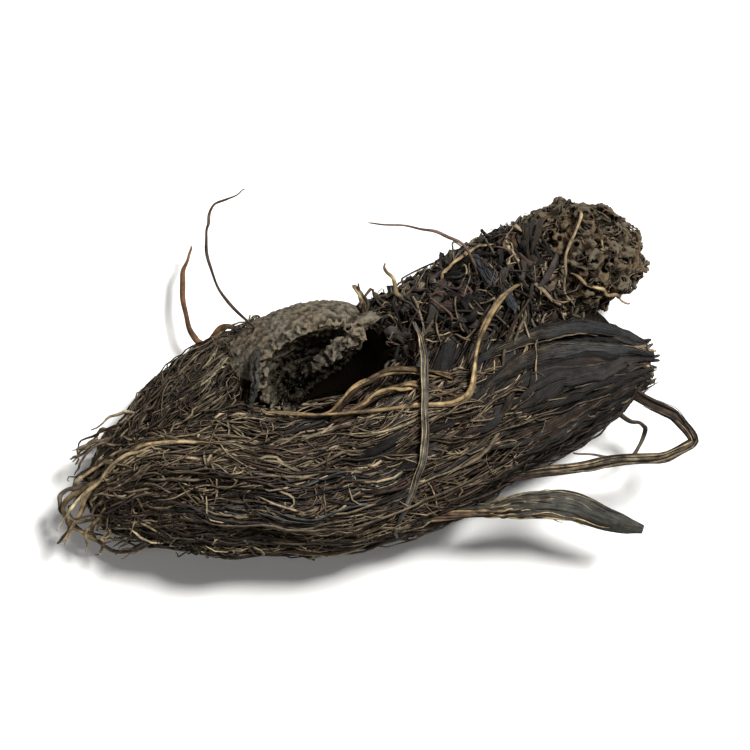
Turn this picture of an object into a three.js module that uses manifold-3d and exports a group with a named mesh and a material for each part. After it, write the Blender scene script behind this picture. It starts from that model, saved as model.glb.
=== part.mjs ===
// Valerian root, whole and dried: a short gnarled rhizome with two crowns, and the roots that grew from it,
// swept together into one thick bundle that lies on its side. It grew as one body, so it is one solid.
// Millimetres, +Z up, +X along the bundle towards the narrow end where the leaf bases meet.

import * as THREE from 'three';
import { mergeVertices } from 'three/addons/utils/BufferGeometryUtils.js';
import Module from 'manifold-3d';

const wasm = await Module();
wasm.setup();

// Driving dimensions of the bundle of roots
// A station is x, y, z of the middle, then half the width and half the thickness there.
const BUNDLE_STATIONS = [
  [25.6, 3.9, 6.6, 1.0, 1.2],
  [22.4, 3.2, 6.3, 3.6, 3.2],
  [17.6, 1.8, 6.0, 5.3, 4.9],
  [12.0, -0.4, 5.9, 6.2, 5.9],
  [6.0, -3.2, 5.9, 6.8, 6.3],
  [0.0, -5.4, 5.9, 7.0, 6.4],
  [-6.0, -6.4, 5.8, 6.8, 6.3],
  [-12.0, -6.4, 5.6, 6.5, 5.9],
  [-17.0, -6.6, 5.2, 6.2, 5.1],
  [-21.4, -8.0, 4.4, 5.2, 4.0],
  [-25.2, -9.8, 3.6, 2.8, 2.2],
];
const BUNDLE_RIDGES = 18;
const RIDGE_SAMPLES = 3;
const BUNDLE_STEPS = 27;
const RIDGE_DEPTH = 0.17;
const BUNDLE_TWIST = 1.1;

// Driving dimensions of the rhizome, from the right-hand crown to the grey one and its neck
const RHIZOME_STATIONS = [
  [22.0, 14.4, 6.0, 2.4, 2.4],
  [17.0, 12.0, 5.8, 4.8, 5.0],
  [12.0, 9.4, 5.4, 5.0, 5.2],
  [6.0, 6.6, 5.2, 4.6, 4.8],
  [0.0, 4.6, 5.4, 3.8, 4.2],
  [-6.0, 3.4, 5.8, 3.6, 4.4],
  [-12.0, 2.0, 5.8, 3.8, 4.4],
  [-16.6, -0.8, 5.4, 3.6, 4.0],
  [-20.6, -5.0, 4.6, 2.4, 3.0],
];
const RHIZOME_RIDGES = 9;
const RHIZOME_STEPS = 20;
const RHIZOME_TWIST = -2.2;
const CROWN = {
  centre: [19.6, 13.6, 5.9], radii: [6.4, 5.2, 6.5],
  turn: -0.15, detail: 6, knobs: 62, relief: 0.13,
};
const GREY_CROWN = {
  centre: [-6.6, 4.6, 6.8], radii: [7.3, 4.1, 4.9],
  turn: 0.34, detail: 5, knobs: 40, relief: 0.1,
};
const HOLLOW = {
  centre: [-3.6, 1.6, 10.0], radii: [4.0, 2.1, 4.6],
  turn: 0.1, detail: 3, knobs: 24, relief: 0.1,
};

// Driving dimensions of the roots that stand out of the bundle
const ROOT_RADIUS = 0.6;
const ROOTLET_RADIUS = 0.46;
const STANDING_ROOTS = 10;
const FRAYED_TIPS = 10;
const CRINKLED_ROOTLETS = 8;
const ROOT_STUBS = 6;
const ROOT_SIDES = 3;
const SEED = 41;

// Leaf bases, dried to flat strips that meet at the narrow end of the bundle: routes from that end, then the
// half width of each strip
const LEAF_BASES = [
  { half: 0.8, route: [[24.6, 4.6, 8.0], [20.0, 6.8, 10.8], [14.0, 6.4, 12.0], [8.4, 3.4, 11.4]] },
  { half: 0.75, route: [[25.4, 3.8, 7.6], [18.6, 3.8, 11.8], [12.0, 1.6, 12.7], [7.2, -1.8, 12.0]] },
  { half: 0.7, route: [[25.0, 2.8, 7.4], [19.6, -0.2, 10.9], [14.6, -3.2, 11.6], [10.0, -6.0, 10.6]] },
  { half: 0.7, route: [[24.4, 2.6, 5.6], [20.0, -2.4, 6.4], [14.0, -6.8, 6.6], [8.0, -9.4, 6.0]] },
];
const STRIP_HALF_THICKNESS = 0.34;

// The lower edge of the bundle ends in a broad flat sheath that points to the right
const SHEATH_ROUTE = [[-9.6, -13.0, 6.4], [-2.0, -13.6, 7.4], [3.0, -11.2, 7.8], [9.0, -10.0, 7.8],
  [13.0, -9.5, 7.8], [18.0, -9.1, 7.6], [22.0, -10.4, 7.2], [25.8, -11.6, 6.8]];
const SHEATH_HALF_WIDTHS = [0.55, 0.6, 0.65, 0.7, 1.1, 1.4, 1.15, 0.8];

// One broken leaf base stands off the bundle and turns back on itself
const LOOP_ROUTE = [[9.0, -6.8, 6.8], [15.0, -6.4, 7.8], [21.0, -5.4, 8.6], [27.0, -4.7, 8.8],
  [30.0, -3.4, 8.6], [28.4, -1.2, 8.4], [25.2, 0.6, 7.6], [22.6, 1.6, 6.8]];
const LOOP_HALF_WIDTH = 0.7;

// Stray roots, each from the place where it leaves the body
const STRAY_ROOTS = [
  { radius: 0.45, route: [[4.2, 8.4, 9.0], [5.4, 4.0, 12.8], [5.2, -5.0, 13.2], [3.2, -10.4, 11.0],
    [3.0, -12.0, 8.6]] },
  { radius: 0.45, route: [[15.4, 11.6, 11.0], [12.4, 9.6, 12.2], [10.4, 6.2, 12.6], [9.2, 0.8, 12.8],
    [4.0, 0.0, 12.6], [-3.0, -0.8, 12.2], [-9.0, -0.6, 10.6]] },
  { radius: 0.42, route: [[-7.4, 5.4, 9.4], [-12.6, 9.6, 9.6], [-14.2, 15.4, 9.2], [-13.2, 18.2, 8.6],
    [-10.6, 19.4, 8.2]] },
  { radius: 0.46, route: [[-9.4, 6.0, 5.6], [-12.8, 7.2, 4.2], [-14.6, 5.6, 3.4], [-16.4, 7.2, 3.0],
    [-16.8, 12.0, 2.8], [-16.2, 14.8, 2.6]] },
  { radius: 0.42, route: [[10.0, 8.0, 9.4], [10.4, 11.2, 10.2], [8.8, 14.4, 10.0], [5.0, 16.0, 9.0],
    [0.4, 16.4, 8.0]] },
  { radius: 0.42, route: [[8.2, 9.4, 8.4], [7.2, 11.6, 9.0], [9.2, 13.6, 9.4], [11.6, 14.6, 8.6]] },
  { radius: 0.5, route: [[1.2, 5.6, 7.6], [0.2, 8.6, 8.4], [-0.6, 11.2, 8.8]] },
  { radius: 0.45, route: [[5.6, 7.6, 7.6], [3.4, 9.8, 9.0], [1.8, 12.8, 9.6]] },
  { radius: 0.45, route: [[-13.0, -3.4, 10.6], [-18.6, -3.6, 9.8], [-22.4, -5.8, 8.2],
    [-25.4, -9.2, 6.2], [-27.6, -12.6, 4.6]] },
  { radius: 0.42, route: [[-22.4, -7.8, 6.4], [-26.0, -7.4, 5.6], [-28.2, -9.2, 4.8],
    [-26.4, -11.6, 4.0], [-23.8, -12.4, 3.6]] },
  { radius: 0.42, route: [[-17.0, -11.4, 3.6], [-20.0, -13.4, 2.8], [-23.6, -13.6, 2.2],
    [-25.6, -11.8, 2.2], [-23.0, -10.0, 3.0]] },
  { radius: 0.42, route: [[20.6, 3.0, 4.4], [24.0, -1.0, 4.4], [26.0, -2.4, 4.2], [24.4, -5.0, 4.6],
    [19.4, -4.4, 5.0]] },
];

// Random numbers that are the same on every run
function seededRandom(seed) {
  let state = seed;
  return () => {
    state = (state * 1664525 + 1013904223) % 4294967296;
    return state / 4294967296;
  };
}

const random = seededRandom(SEED);
const between = (low, high) => low + (high - low) * random();

// Solids in and out of the boolean library
function weld(geometry) {
  geometry.deleteAttribute('normal');
  geometry.deleteAttribute('uv');
  return mergeVertices(geometry, 1e-5);
}

function solidOf(geometry) {
  return new wasm.Manifold(new wasm.Mesh({
    numProp: 3,
    vertProperties: new Float32Array(geometry.attributes.position.array),
    triVerts: new Uint32Array(geometry.index.array),
  }));
}

// The outermost skin of a fused body: gaps that the roots shut in are filled, and loose scraps are dropped
function outerSkin(triangles, vertexCount) {
  const parent = Array.from({ length: vertexCount }, (_, i) => i);
  const rootOf = (vertex) => {
    let found = vertex;
    while (parent[found] !== found) found = parent[found];
    while (parent[vertex] !== found) [parent[vertex], vertex] = [found, parent[vertex]];
    return found;
  };
  for (let i = 0; i < triangles.length; i += 3) {
    parent[rootOf(triangles[i])] = rootOf(triangles[i + 1]);
    parent[rootOf(triangles[i + 1])] = rootOf(triangles[i + 2]);
  }
  const sizes = new Map();
  for (const vertex of triangles) sizes.set(rootOf(vertex), (sizes.get(rootOf(vertex)) ?? 0) + 1);
  const largest = [...sizes].sort((a, b) => b[1] - a[1])[0][0];
  return Array.from(triangles).filter((vertex) => rootOf(vertex) === largest);
}

function geometryOf(solid) {
  const { vertProperties, triVerts } = solid.getMesh();
  const geometry = new THREE.BufferGeometry();
  geometry.setAttribute('position', new THREE.BufferAttribute(vertProperties, 3));
  geometry.setIndex(outerSkin(triVerts, vertProperties.length / 3));
  const skin = weld(geometry);
  skin.computeVertexNormals();
  return skin;
}

// A closed tube along a curve. frames gives each ring's middle and its two axes, and section(t, angle) gives
// how far the skin lies from the middle along each axis.
function tube(frames, sides, section) {
  const steps = frames.length - 1;
  const geometry = weld(new THREE.CylinderGeometry(1, 1, 1, sides, steps));
  const position = geometry.attributes.position;
  for (let i = 0; i < position.count; i += 1) {
    const t = position.getY(i) + 0.5;
    const reach = Math.hypot(position.getX(i), position.getZ(i));
    const angle = Math.atan2(-position.getZ(i), position.getX(i));
    const frame = frames[Math.round(t * steps)];
    const [across, above] = section(t, angle);
    const place = frame.middle.clone()
      .addScaledVector(frame.side, reach * across)
      .addScaledVector(frame.top, reach * above);
    position.setXYZ(i, place.x, place.y, place.z);
  }
  return solidOf(geometry);
}

function curveThrough(route) {
  return new THREE.CatmullRomCurve3(route.map((point) => new THREE.Vector3(...point)), false, 'centripetal');
}

// A limb is a thick member whose section changes from station to station and stays upright
class Limb {
  constructor(stations) {
    this.spine = curveThrough(stations.map(([x, y, z]) => [x, y, z]));
    this.girth = curveThrough(stations.map((station) => [station[3], station[4], 0]));
    this.count = stations.length;
  }

  frame(t) {
    const along = this.spine.getTangent(t);
    const side = new THREE.Vector3(0, 0, 1).cross(along).normalize();
    return { middle: this.spine.getPoint(t), side, top: along.clone().cross(side) };
  }

  // Half the width and half the thickness, read between the stations
  halves(t) {
    const place = t * (this.count - 1);
    const index = Math.min(Math.floor(place), this.count - 2);
    const ease = THREE.MathUtils.smoothstep(place - index, 0, 1);
    return this.girth.points[index].clone().lerp(this.girth.points[index + 1], ease);
  }

  // A point of the skin at angle round the section; lift 1 is on the skin and less is under it
  skin(t, angle, lift) {
    const { middle, side, top } = this.frame(t);
    const half = this.halves(t);
    return middle
      .addScaledVector(side, half.x * Math.cos(angle) * lift)
      .addScaledVector(top, half.y * Math.sin(angle) * lift);
  }

  // The limb's own solid, with its relief as a share of the radius
  solid(steps, sides, relief) {
    const frames = Array.from({ length: steps + 1 }, (_, i) => this.frame(i / steps));
    return tube(frames, sides, (t, angle) => {
      const half = this.halves(t);
      const { turned, height } = relief(t, angle);
      return [half.x * Math.cos(turned) * height, half.y * Math.sin(turned) * height];
    });
  }
}

const bundle = new Limb(BUNDLE_STATIONS);
const rhizome = new Limb(RHIZOME_STATIONS);

const GOLDEN_ANGLE = Math.PI * (3 - Math.sqrt(5));

// Knobs spread over a crown by the golden angle: 1 on top of a knob, and about 0 in the grooves between
function knobHeight(direction, count) {
  const warped = direction.clone();
  warped.x += 0.16 * Math.sin(5 * direction.y + 1);
  warped.y += 0.16 * Math.sin(5 * direction.z + 2);
  warped.z += 0.16 * Math.sin(5 * direction.x);
  warped.normalize();
  let nearest = Infinity;
  for (let i = 0; i < count; i += 1) {
    const height = 1 - (2 * i + 1) / count;
    const flat = Math.sqrt(1 - height * height);
    const knob = new THREE.Vector3(
      flat * Math.cos(i * GOLDEN_ANGLE), flat * Math.sin(i * GOLDEN_ANGLE), height);
    nearest = Math.min(nearest, warped.distanceToSquared(knob));
  }
  return 1 - (nearest * count) / Math.PI / 1.6;
}

// Roots that lie side by side show as rounded ridges with sharp grooves that wind round the limb
function rootedSkin(ridges, twist, waver) {
  return (t, angle) => {
    const ridge = Math.round((ridges * angle) / (2 * Math.PI) - 0.5);
    const groove = Math.abs(Math.sin((ridges * angle) / 2));
    const depth = RIDGE_DEPTH * (1 + 0.4 * Math.sin(2.4 * ridge + 9 * t));
    const swell = 0.04 * Math.sin(3 * angle + 11 * t) + 0.04 * Math.sin(5 * angle - 17 * t + 1);
    const turned = angle + twist * t + 0.1 * Math.sin(2 * angle + 6 * t) + waver * Math.sin(29 * t + angle);
    return { turned, height: 1.0 - depth + depth * groove + swell };
  };
}

// A crown is a blunt, knobbly end of the rhizome
function crown({ centre, radii, turn, detail, knobs, relief }) {
  const geometry = weld(new THREE.IcosahedronGeometry(1, detail));
  const position = geometry.attributes.position;
  const matrix = new THREE.Matrix4()
    .compose(new THREE.Vector3(...centre),
      new THREE.Quaternion().setFromAxisAngle(new THREE.Vector3(0, 0, 1), turn),
      new THREE.Vector3(...radii));
  const point = new THREE.Vector3();
  for (let i = 0; i < position.count; i += 1) {
    point.fromBufferAttribute(position, i);
    const height = 1 - relief + relief * knobHeight(point, knobs);
    point.multiplyScalar(height).applyMatrix4(matrix);
    position.setXYZ(i, point.x, point.y, point.z);
  }
  return solidOf(geometry);
}

// A root is a slim tube with few sides that thins towards its tip
function root(route, radius, tip = 0.75, steps = 0) {
  const curve = curveThrough(route);
  const count = steps || 2 * route.length;
  const { normals, binormals } = curve.computeFrenetFrames(count);
  const frames = normals.map((side, i) => ({ middle: curve.getPointAt(i / count), side, top: binormals[i] }));
  return tube(frames, ROOT_SIDES, (t, angle) => {
    const thick = radius * THREE.MathUtils.lerp(tip, 1, t < 0.2 ? 1 : 1.25 * (1 - t));
    return [thick * Math.cos(angle), thick * Math.sin(angle)];
  });
}

// A strip is a flat blade; widths holds its half width at each point of the route
function strip(route, widths, steps) {
  const curve = curveThrough(route);
  const frames = Array.from({ length: steps + 1 }, (_, i) => {
    const along = curve.getTangent(i / steps);
    const side = new THREE.Vector3(0, 0, 1).cross(along).normalize();
    return { middle: curve.getPoint(i / steps), side, top: along.clone().cross(side) };
  });
  const last = widths.length - 1;
  return tube(frames, 4, (t, angle) => {
    const index = Math.min(Math.floor(t * last), last - 1);
    const half = THREE.MathUtils.lerp(widths[index], widths[index + 1], t * last - index);
    return [half * Math.cos(angle), STRIP_HALF_THICKNESS * 1.4 * Math.sin(angle)];
  });
}

// Roots that lie along a limb, half sunk in it, spread evenly round it by the golden angle
function rootsAlong(limb, count, { from, to, length, radius, wander, lifts }) {
  return Array.from({ length: count }, (_, i) => {
    const start = between(from, to);
    const reach = between(...length);
    const drift = between(-wander, wander) + 0.9 * reach;
    const sway = between(0, Math.PI * 2);
    const route = lifts.map((lift, step) => {
      const share = step / (lifts.length - 1);
      const t = THREE.MathUtils.clamp(start + reach * share, 0, 1);
      const angle = i * GOLDEN_ANGLE + drift * share + 0.1 * Math.sin(sway + 7 * share);
      return limb.skin(t, angle, lift + between(-0.03, 0.03)).toArray();
    });
    return root(route, radius * between(0.85, 1.15), 0.75, 2 * (lifts.length - 1));
  });
}

// Root tips that fray out of the thin end of the bundle
function frayedTips() {
  return Array.from({ length: FRAYED_TIPS }, (_, i) => {
    const around = (i / FRAYED_TIPS) * Math.PI * 2;
    const start = between(0.78, 0.84);
    const inner = bundle.skin(start, around, 0.7);
    const middle = bundle.skin(start + 0.09, around, 0.95);
    const fan = THREE.MathUtils.lerp(-1.2, 0.9, ((i * 7) % FRAYED_TIPS) / (FRAYED_TIPS - 1));
    const reach = between(4.0, 7.5);
    const end = bundle.frame(0.9).middle.clone();
    end.x -= reach * Math.cos(fan);
    end.y += reach * Math.sin(fan);
    end.z = between(0.9, 6.4);
    const knee = middle.clone().lerp(end, 0.5);
    knee.z += between(0.2, 1.2);
    return root([inner.toArray(), middle.toArray(), knee.toArray(), end.toArray()], ROOTLET_RADIUS, 0.75, 6);
  });
}

// Short stubs where roots broke off a crown
function rootStubs({ centre, radii, turn }) {
  const up = new THREE.Vector3(0, 0, 1);
  return Array.from({ length: ROOT_STUBS }, (_, i) => {
    const height = 0.85 - (1.3 * i) / ROOT_STUBS;
    const around = i * GOLDEN_ANGLE + turn;
    const flat = Math.sqrt(1 - height * height);
    const out = new THREE.Vector3(flat * Math.cos(around), flat * Math.sin(around), height);
    const place = (lift) => out.clone().multiply(new THREE.Vector3(...radii)).multiplyScalar(lift)
      .applyAxisAngle(up, turn).add(new THREE.Vector3(...centre)).toArray();
    return root([place(0.7), place(0.95), place(between(1.08, 1.2))], ROOT_RADIUS * 1.3, 0.8, 3);
  });
}

// The whole root, fused into one body
const bundleCore = bundle.solid(BUNDLE_STEPS, BUNDLE_RIDGES * RIDGE_SAMPLES,
  rootedSkin(BUNDLE_RIDGES, BUNDLE_TWIST, 0.05));
const rhizomeCore = rhizome.solid(RHIZOME_STEPS, RHIZOME_RIDGES * RIDGE_SAMPLES,
  rootedSkin(RHIZOME_RIDGES, RHIZOME_TWIST, 0.14));
let body = bundleCore.add(rhizomeCore).add(crown(CROWN)).add(crown(GREY_CROWN));
body = body.subtract(crown(HOLLOW));
const limbs = [
  ...rootsAlong(bundle, STANDING_ROOTS, { from: 0.08, to: 0.5, length: [0.24, 0.34], radius: ROOT_RADIUS,
    wander: 0.5, lifts: [0.8, 1.12, 1.16, 1.12, 0.8] }),
  ...rootsAlong(rhizome, CRINKLED_ROOTLETS, { from: 0.06, to: 0.5, length: [0.1, 0.2], radius: ROOTLET_RADIUS,
    wander: 1.4, lifts: [0.7, 1.22, 1.1, 1.3] }),
  ...frayedTips(),
  ...rootStubs(CROWN),
  ...LEAF_BASES.map(({ half, route }) => strip(route, [half * 0.8, half, half, half * 0.6], 8)),
  strip(SHEATH_ROUTE, SHEATH_HALF_WIDTHS, 16),
  strip(LOOP_ROUTE, [LOOP_HALF_WIDTH, LOOP_HALF_WIDTH], 18),
  ...STRAY_ROOTS.map(({ route, radius }) => root(route, radius, 0.85)),
];
for (const limb of limbs) body = body.add(limb);

// Cut flat underneath, so that it rests on its own weight
const table = new THREE.BoxGeometry(200, 200, 20);
table.translate(0, 0, -10);
body = body.subtract(solidOf(weld(table)));

const material = new THREE.MeshStandardMaterial({ color: 0x43372a, roughness: 0.95, metalness: 0 });
const rootstock = new THREE.Mesh(geometryOf(body), material);
rootstock.name = 'valerian_root';

// The origin is on the surface that it lies on, under the middle of its box
const box = new THREE.Box3().setFromObject(rootstock);
const middle = box.getCenter(new THREE.Vector3());
rootstock.position.set(-middle.x, -middle.y, -box.min.z);

const group = new THREE.Group();
group.add(rootstock);
export default group;
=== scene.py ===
# %% [markdown]
# A dried valerian root, seen from straight above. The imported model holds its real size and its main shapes:
# a short gnarled rhizome with two crowns, and a thick bundle of roots. This lesson dresses that solid with
# what the eye sees on the real thing: bark, leaf bases dried to strips, and thousands of separate roots.
# It starts by loading the solid as a fixed frame, and by noting the box that the looks have to stay in.

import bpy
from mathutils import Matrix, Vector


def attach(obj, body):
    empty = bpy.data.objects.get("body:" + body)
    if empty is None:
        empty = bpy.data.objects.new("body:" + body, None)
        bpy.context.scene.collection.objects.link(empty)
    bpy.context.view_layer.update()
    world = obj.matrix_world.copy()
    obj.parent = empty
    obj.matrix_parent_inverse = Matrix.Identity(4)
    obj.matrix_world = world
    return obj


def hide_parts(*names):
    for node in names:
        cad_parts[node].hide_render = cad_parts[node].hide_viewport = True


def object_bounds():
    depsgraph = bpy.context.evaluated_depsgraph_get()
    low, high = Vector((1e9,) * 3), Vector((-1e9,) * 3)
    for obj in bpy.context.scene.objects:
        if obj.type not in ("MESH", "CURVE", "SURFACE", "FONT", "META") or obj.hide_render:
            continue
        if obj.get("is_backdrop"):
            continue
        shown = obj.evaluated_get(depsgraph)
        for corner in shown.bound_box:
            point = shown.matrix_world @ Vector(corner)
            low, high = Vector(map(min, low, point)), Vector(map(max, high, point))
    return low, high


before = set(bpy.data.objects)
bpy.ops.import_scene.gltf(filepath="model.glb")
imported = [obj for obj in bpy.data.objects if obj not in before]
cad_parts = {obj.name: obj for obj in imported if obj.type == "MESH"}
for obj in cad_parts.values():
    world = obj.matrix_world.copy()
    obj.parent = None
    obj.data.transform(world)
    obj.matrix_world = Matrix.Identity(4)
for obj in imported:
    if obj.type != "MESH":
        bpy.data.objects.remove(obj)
solid_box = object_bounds()
print("box of the solid, m:", [tuple(round(v, 4) for v in corner) for corner in solid_box])

# %% [markdown]
# The routes below are in millimetres, and they are the routes of the solid: the middle of each thick limb
# at a row of stations, then half its width and half its thickness there. The two ends of the bundle are a
# little slimmer than the solid's, because the roots that fan out from them fill the rest. Everything is
# modelled in those millimetres. Each finished mesh is then moved by ROUTE_MIDDLE and scaled to metres in
# one step, so that its object stays at the origin.

import bpy
import numpy as np
from mathutils import Matrix, Vector, noise

MM = 0.001
ROUTE_MIDDLE = Vector((1.05, 2.67, 0.0))   # the middle of the solid's box, in the millimetres of the routes
BUNDLE = np.array([
    (25.6, 3.9, 6.6, 1.9, 1.9), (22.4, 3.2, 6.3, 3.8, 3.4), (17.6, 1.8, 6.0, 5.3, 4.9),
    (12.0, -0.4, 5.9, 6.2, 5.9), (6.0, -3.2, 5.9, 6.8, 6.3), (0.0, -5.4, 5.9, 7.0, 6.4),
    (-6.0, -6.4, 5.8, 6.8, 6.3), (-12.0, -6.4, 5.6, 6.5, 5.9), (-17.0, -6.6, 5.2, 6.2, 5.1),
    (-21.2, -7.9, 4.4, 5.0, 3.9), (-24.8, -9.6, 3.6, 1.9, 1.7)])
RHIZOME = np.array([
    (22.0, 14.4, 6.0, 2.4, 2.4), (17.0, 12.0, 5.8, 4.8, 5.0), (12.0, 9.4, 5.4, 5.0, 5.2),
    (6.0, 6.6, 5.2, 4.6, 4.8), (0.0, 4.6, 5.4, 3.8, 4.2), (-6.0, 3.4, 5.8, 3.6, 4.4),
    (-12.0, 2.0, 5.8, 3.8, 4.4), (-16.6, -0.8, 5.4, 3.6, 4.0), (-20.6, -5.0, 4.6, 2.4, 3.0)])
print("bundle is", round(float(np.linalg.norm(np.diff(BUNDLE[:, :3], axis=0), axis=1).sum()), 1), "mm long")

# %% [markdown]
# A place on a limb is given by how far along it lies, from 0 to 1, by an angle round its section, and by a
# lift, which is 1 on the skin. Given so, a root that follows its limb is a short list of numbers, and it
# stays on the limb when the route is changed. A few wide grooves wind round each limb, as on a bundle of
# roots.

# %% Places on a limb
LEAN_STEP = 0.004          # the direction of a limb is read over this share of it, to both sides
GROOVES = [(0.045, 5, -9, 1), (0.035, 9, 14, 2), (0.02, 3, -26, 0)]    # depth, number round, twist, start


def smooth_row(points, at):
    """A smooth curve through evenly counted points, read at the places in at (0 to 1)."""
    points = np.asarray(points, float)
    last = len(points) - 1
    place = np.clip(np.asarray(at, float), 0, 1) * last
    left = np.minimum(place.astype(int), last - 1)
    f = (place - left)[..., None]
    p0, p1 = points[np.maximum(left - 1, 0)], points[left]
    p2, p3 = points[left + 1], points[np.minimum(left + 2, last)]
    return 0.5 * (2 * p1 + (p2 - p0) * f + (2 * p0 - 5 * p1 + 4 * p2 - p3) * f ** 2
                  + (3 * p1 - p0 - 3 * p2 + p3) * f ** 3)


def unit(vectors):
    return vectors / np.maximum(np.linalg.norm(vectors, axis=-1, keepdims=True), 1e-9)


def limb_axes(stations, t):
    """Middle, sideways axis, upward axis and half sizes of a limb at t."""
    t = np.asarray(t, float)
    row = smooth_row(stations, t)
    ahead, behind = smooth_row(stations, t + LEAN_STEP), smooth_row(stations, t - LEAN_STEP)
    along = unit(ahead[..., :3] - behind[..., :3])
    side = unit(np.cross(np.array([0.0, 0.0, 1.0]), along))
    return row[..., :3], side, np.cross(along, side), row[..., 3:]


def skin(stations, t, angle, lift):
    """Points on a limb: angle runs round its section, and lift 1 is on its skin, which has wide grooves."""
    middle, side, top, half = limb_axes(stations, t)
    swell = 1
    for depth, number, twist, start in GROOVES:
        swell = swell + depth * np.sin(number * angle + twist * t + start)
    lift = lift * swell
    return (middle + side * (half[..., :1] * (np.cos(angle) * lift)[..., None])
            + top * (half[..., 1:] * (np.sin(angle) * lift)[..., None]))


print("middle of the bundle, mm:", limb_axes(BUNDLE, 0.5)[0].round(1).tolist())

# %% [markdown]
# Beside the grey crown the rootstock is hollow, as old ones are. What lies in the hollow is pressed down to
# its floor, and roots that would cross it are left out. It is wider here than in the solid, because the
# pegs and crumbs along its rim narrow it again. Its depth is a guess: from above, a hollow shows only as
# shade.

# %% The hollow beside the grey crown
HOLLOW_MIDDLE, HOLLOW_RADII, HOLLOW_TURN = (-3.7, 2.9), (6.2, 3.7), 0.36
HOLLOW_RIM, HOLLOW_DEPTH = 11.4, 6.6
HOLLOW_EDGE = 0.06         # roots may touch the hollow in this outermost share of it
BURIED = 0.6               # and they may pass this many mm under its floor


def hollow_floor(inside):
    return HOLLOW_RIM - HOLLOW_DEPTH * np.sqrt(inside)


def hollow_place(turn, out):
    """x and y of places in the hollow. out is 0 at its middle and 1 at its rim."""
    cos, sin = np.cos(HOLLOW_TURN), np.sin(HOLLOW_TURN)
    u, v = HOLLOW_RADII[0] * out * np.cos(turn), HOLLOW_RADII[1] * out * np.sin(turn)
    return HOLLOW_MIDDLE[0] + u * cos - v * sin, HOLLOW_MIDDLE[1] + u * sin + v * cos


def in_hollow(points):
    """1 at the middle of the hollow beside the grey crown, seen from above, and 0 outside it."""
    dx, dy = points[..., 0] - HOLLOW_MIDDLE[0], points[..., 1] - HOLLOW_MIDDLE[1]
    cos, sin = np.cos(HOLLOW_TURN), np.sin(HOLLOW_TURN)
    across = ((dx * cos + dy * sin) / HOLLOW_RADII[0]) ** 2 + ((dy * cos - dx * sin) / HOLLOW_RADII[1]) ** 2
    return np.clip(1 - across, 0, 1)


def pressed(points):
    """Lowers what lies in the hollow to its floor."""
    inside = in_hollow(points)
    low = points.copy()
    low[..., 2] = np.where(inside > 0, np.minimum(points[..., 2], hollow_floor(inside)), points[..., 2])
    return low


def clear_of_hollow(paths):
    """True for each path that stays out of the hollow, or well under its floor."""
    inside = in_hollow(paths)
    return ~((inside > HOLLOW_EDGE) & (paths[..., 2] > hollow_floor(inside) - BURIED)).any(axis=1)


print("hollow:", 2 * HOLLOW_RADII[0], "by", 2 * HOLLOW_RADII[1], "mm,", HOLLOW_DEPTH, "mm deep")

# %% [markdown]
# Each finish is made of nodes. Colours are picked as sRGB hex values, as on a colour chart, and one
# function turns them to the linear values that Blender counts in. One small function adds a node, with its
# settings and links, and every material below is built with it.

# %% Colour and node helpers


def linear(hex_colour):
    parts = [int(hex_colour[i:i + 2], 16) / 255 for i in (1, 3, 5)]
    return tuple(c / 12.92 if c <= 0.04045 else ((c + 0.055) / 1.055) ** 2.4 for c in parts)


def add_node(tree, kind, inputs=None, **settings):
    made = tree.nodes.new(kind)
    for name, value in settings.items():
        setattr(made, name, value)
    for name, value in (inputs or {}).items():
        if isinstance(value, bpy.types.NodeSocket):
            tree.links.new(value, made.inputs[name])
        else:
            made.inputs[name].default_value = value
    return made


def new_material(name):
    material = bpy.data.materials.new(name)
    material.use_nodes = True
    material.node_tree.nodes.clear()
    return material, material.node_tree


print("sRGB grey #808080 is", round(linear("#808080")[0], 3), "in linear light")

# %% [markdown]
# Dried root fibre is dull and dark brown, with little gloss. Each root has a colour of its own, stored on
# the mesh as fibre_colour, because a bundle in one colour looks like clay. The material mottles that colour
# in patches. Fine lengthwise wrinkles follow root_place, which says how far round and along its root a
# point is.

# %% Dried root fibre
FIBRE_MOTTLE = 0.9 * MM    # patches of darker skin
ROOT_WRINKLES = (5, 1.2)   # wrinkles seen round one root, and along each mm of it
LEAF_WRINKLES = (14, 0.5)  # a leaf base is wider, and its fibres are longer


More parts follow.
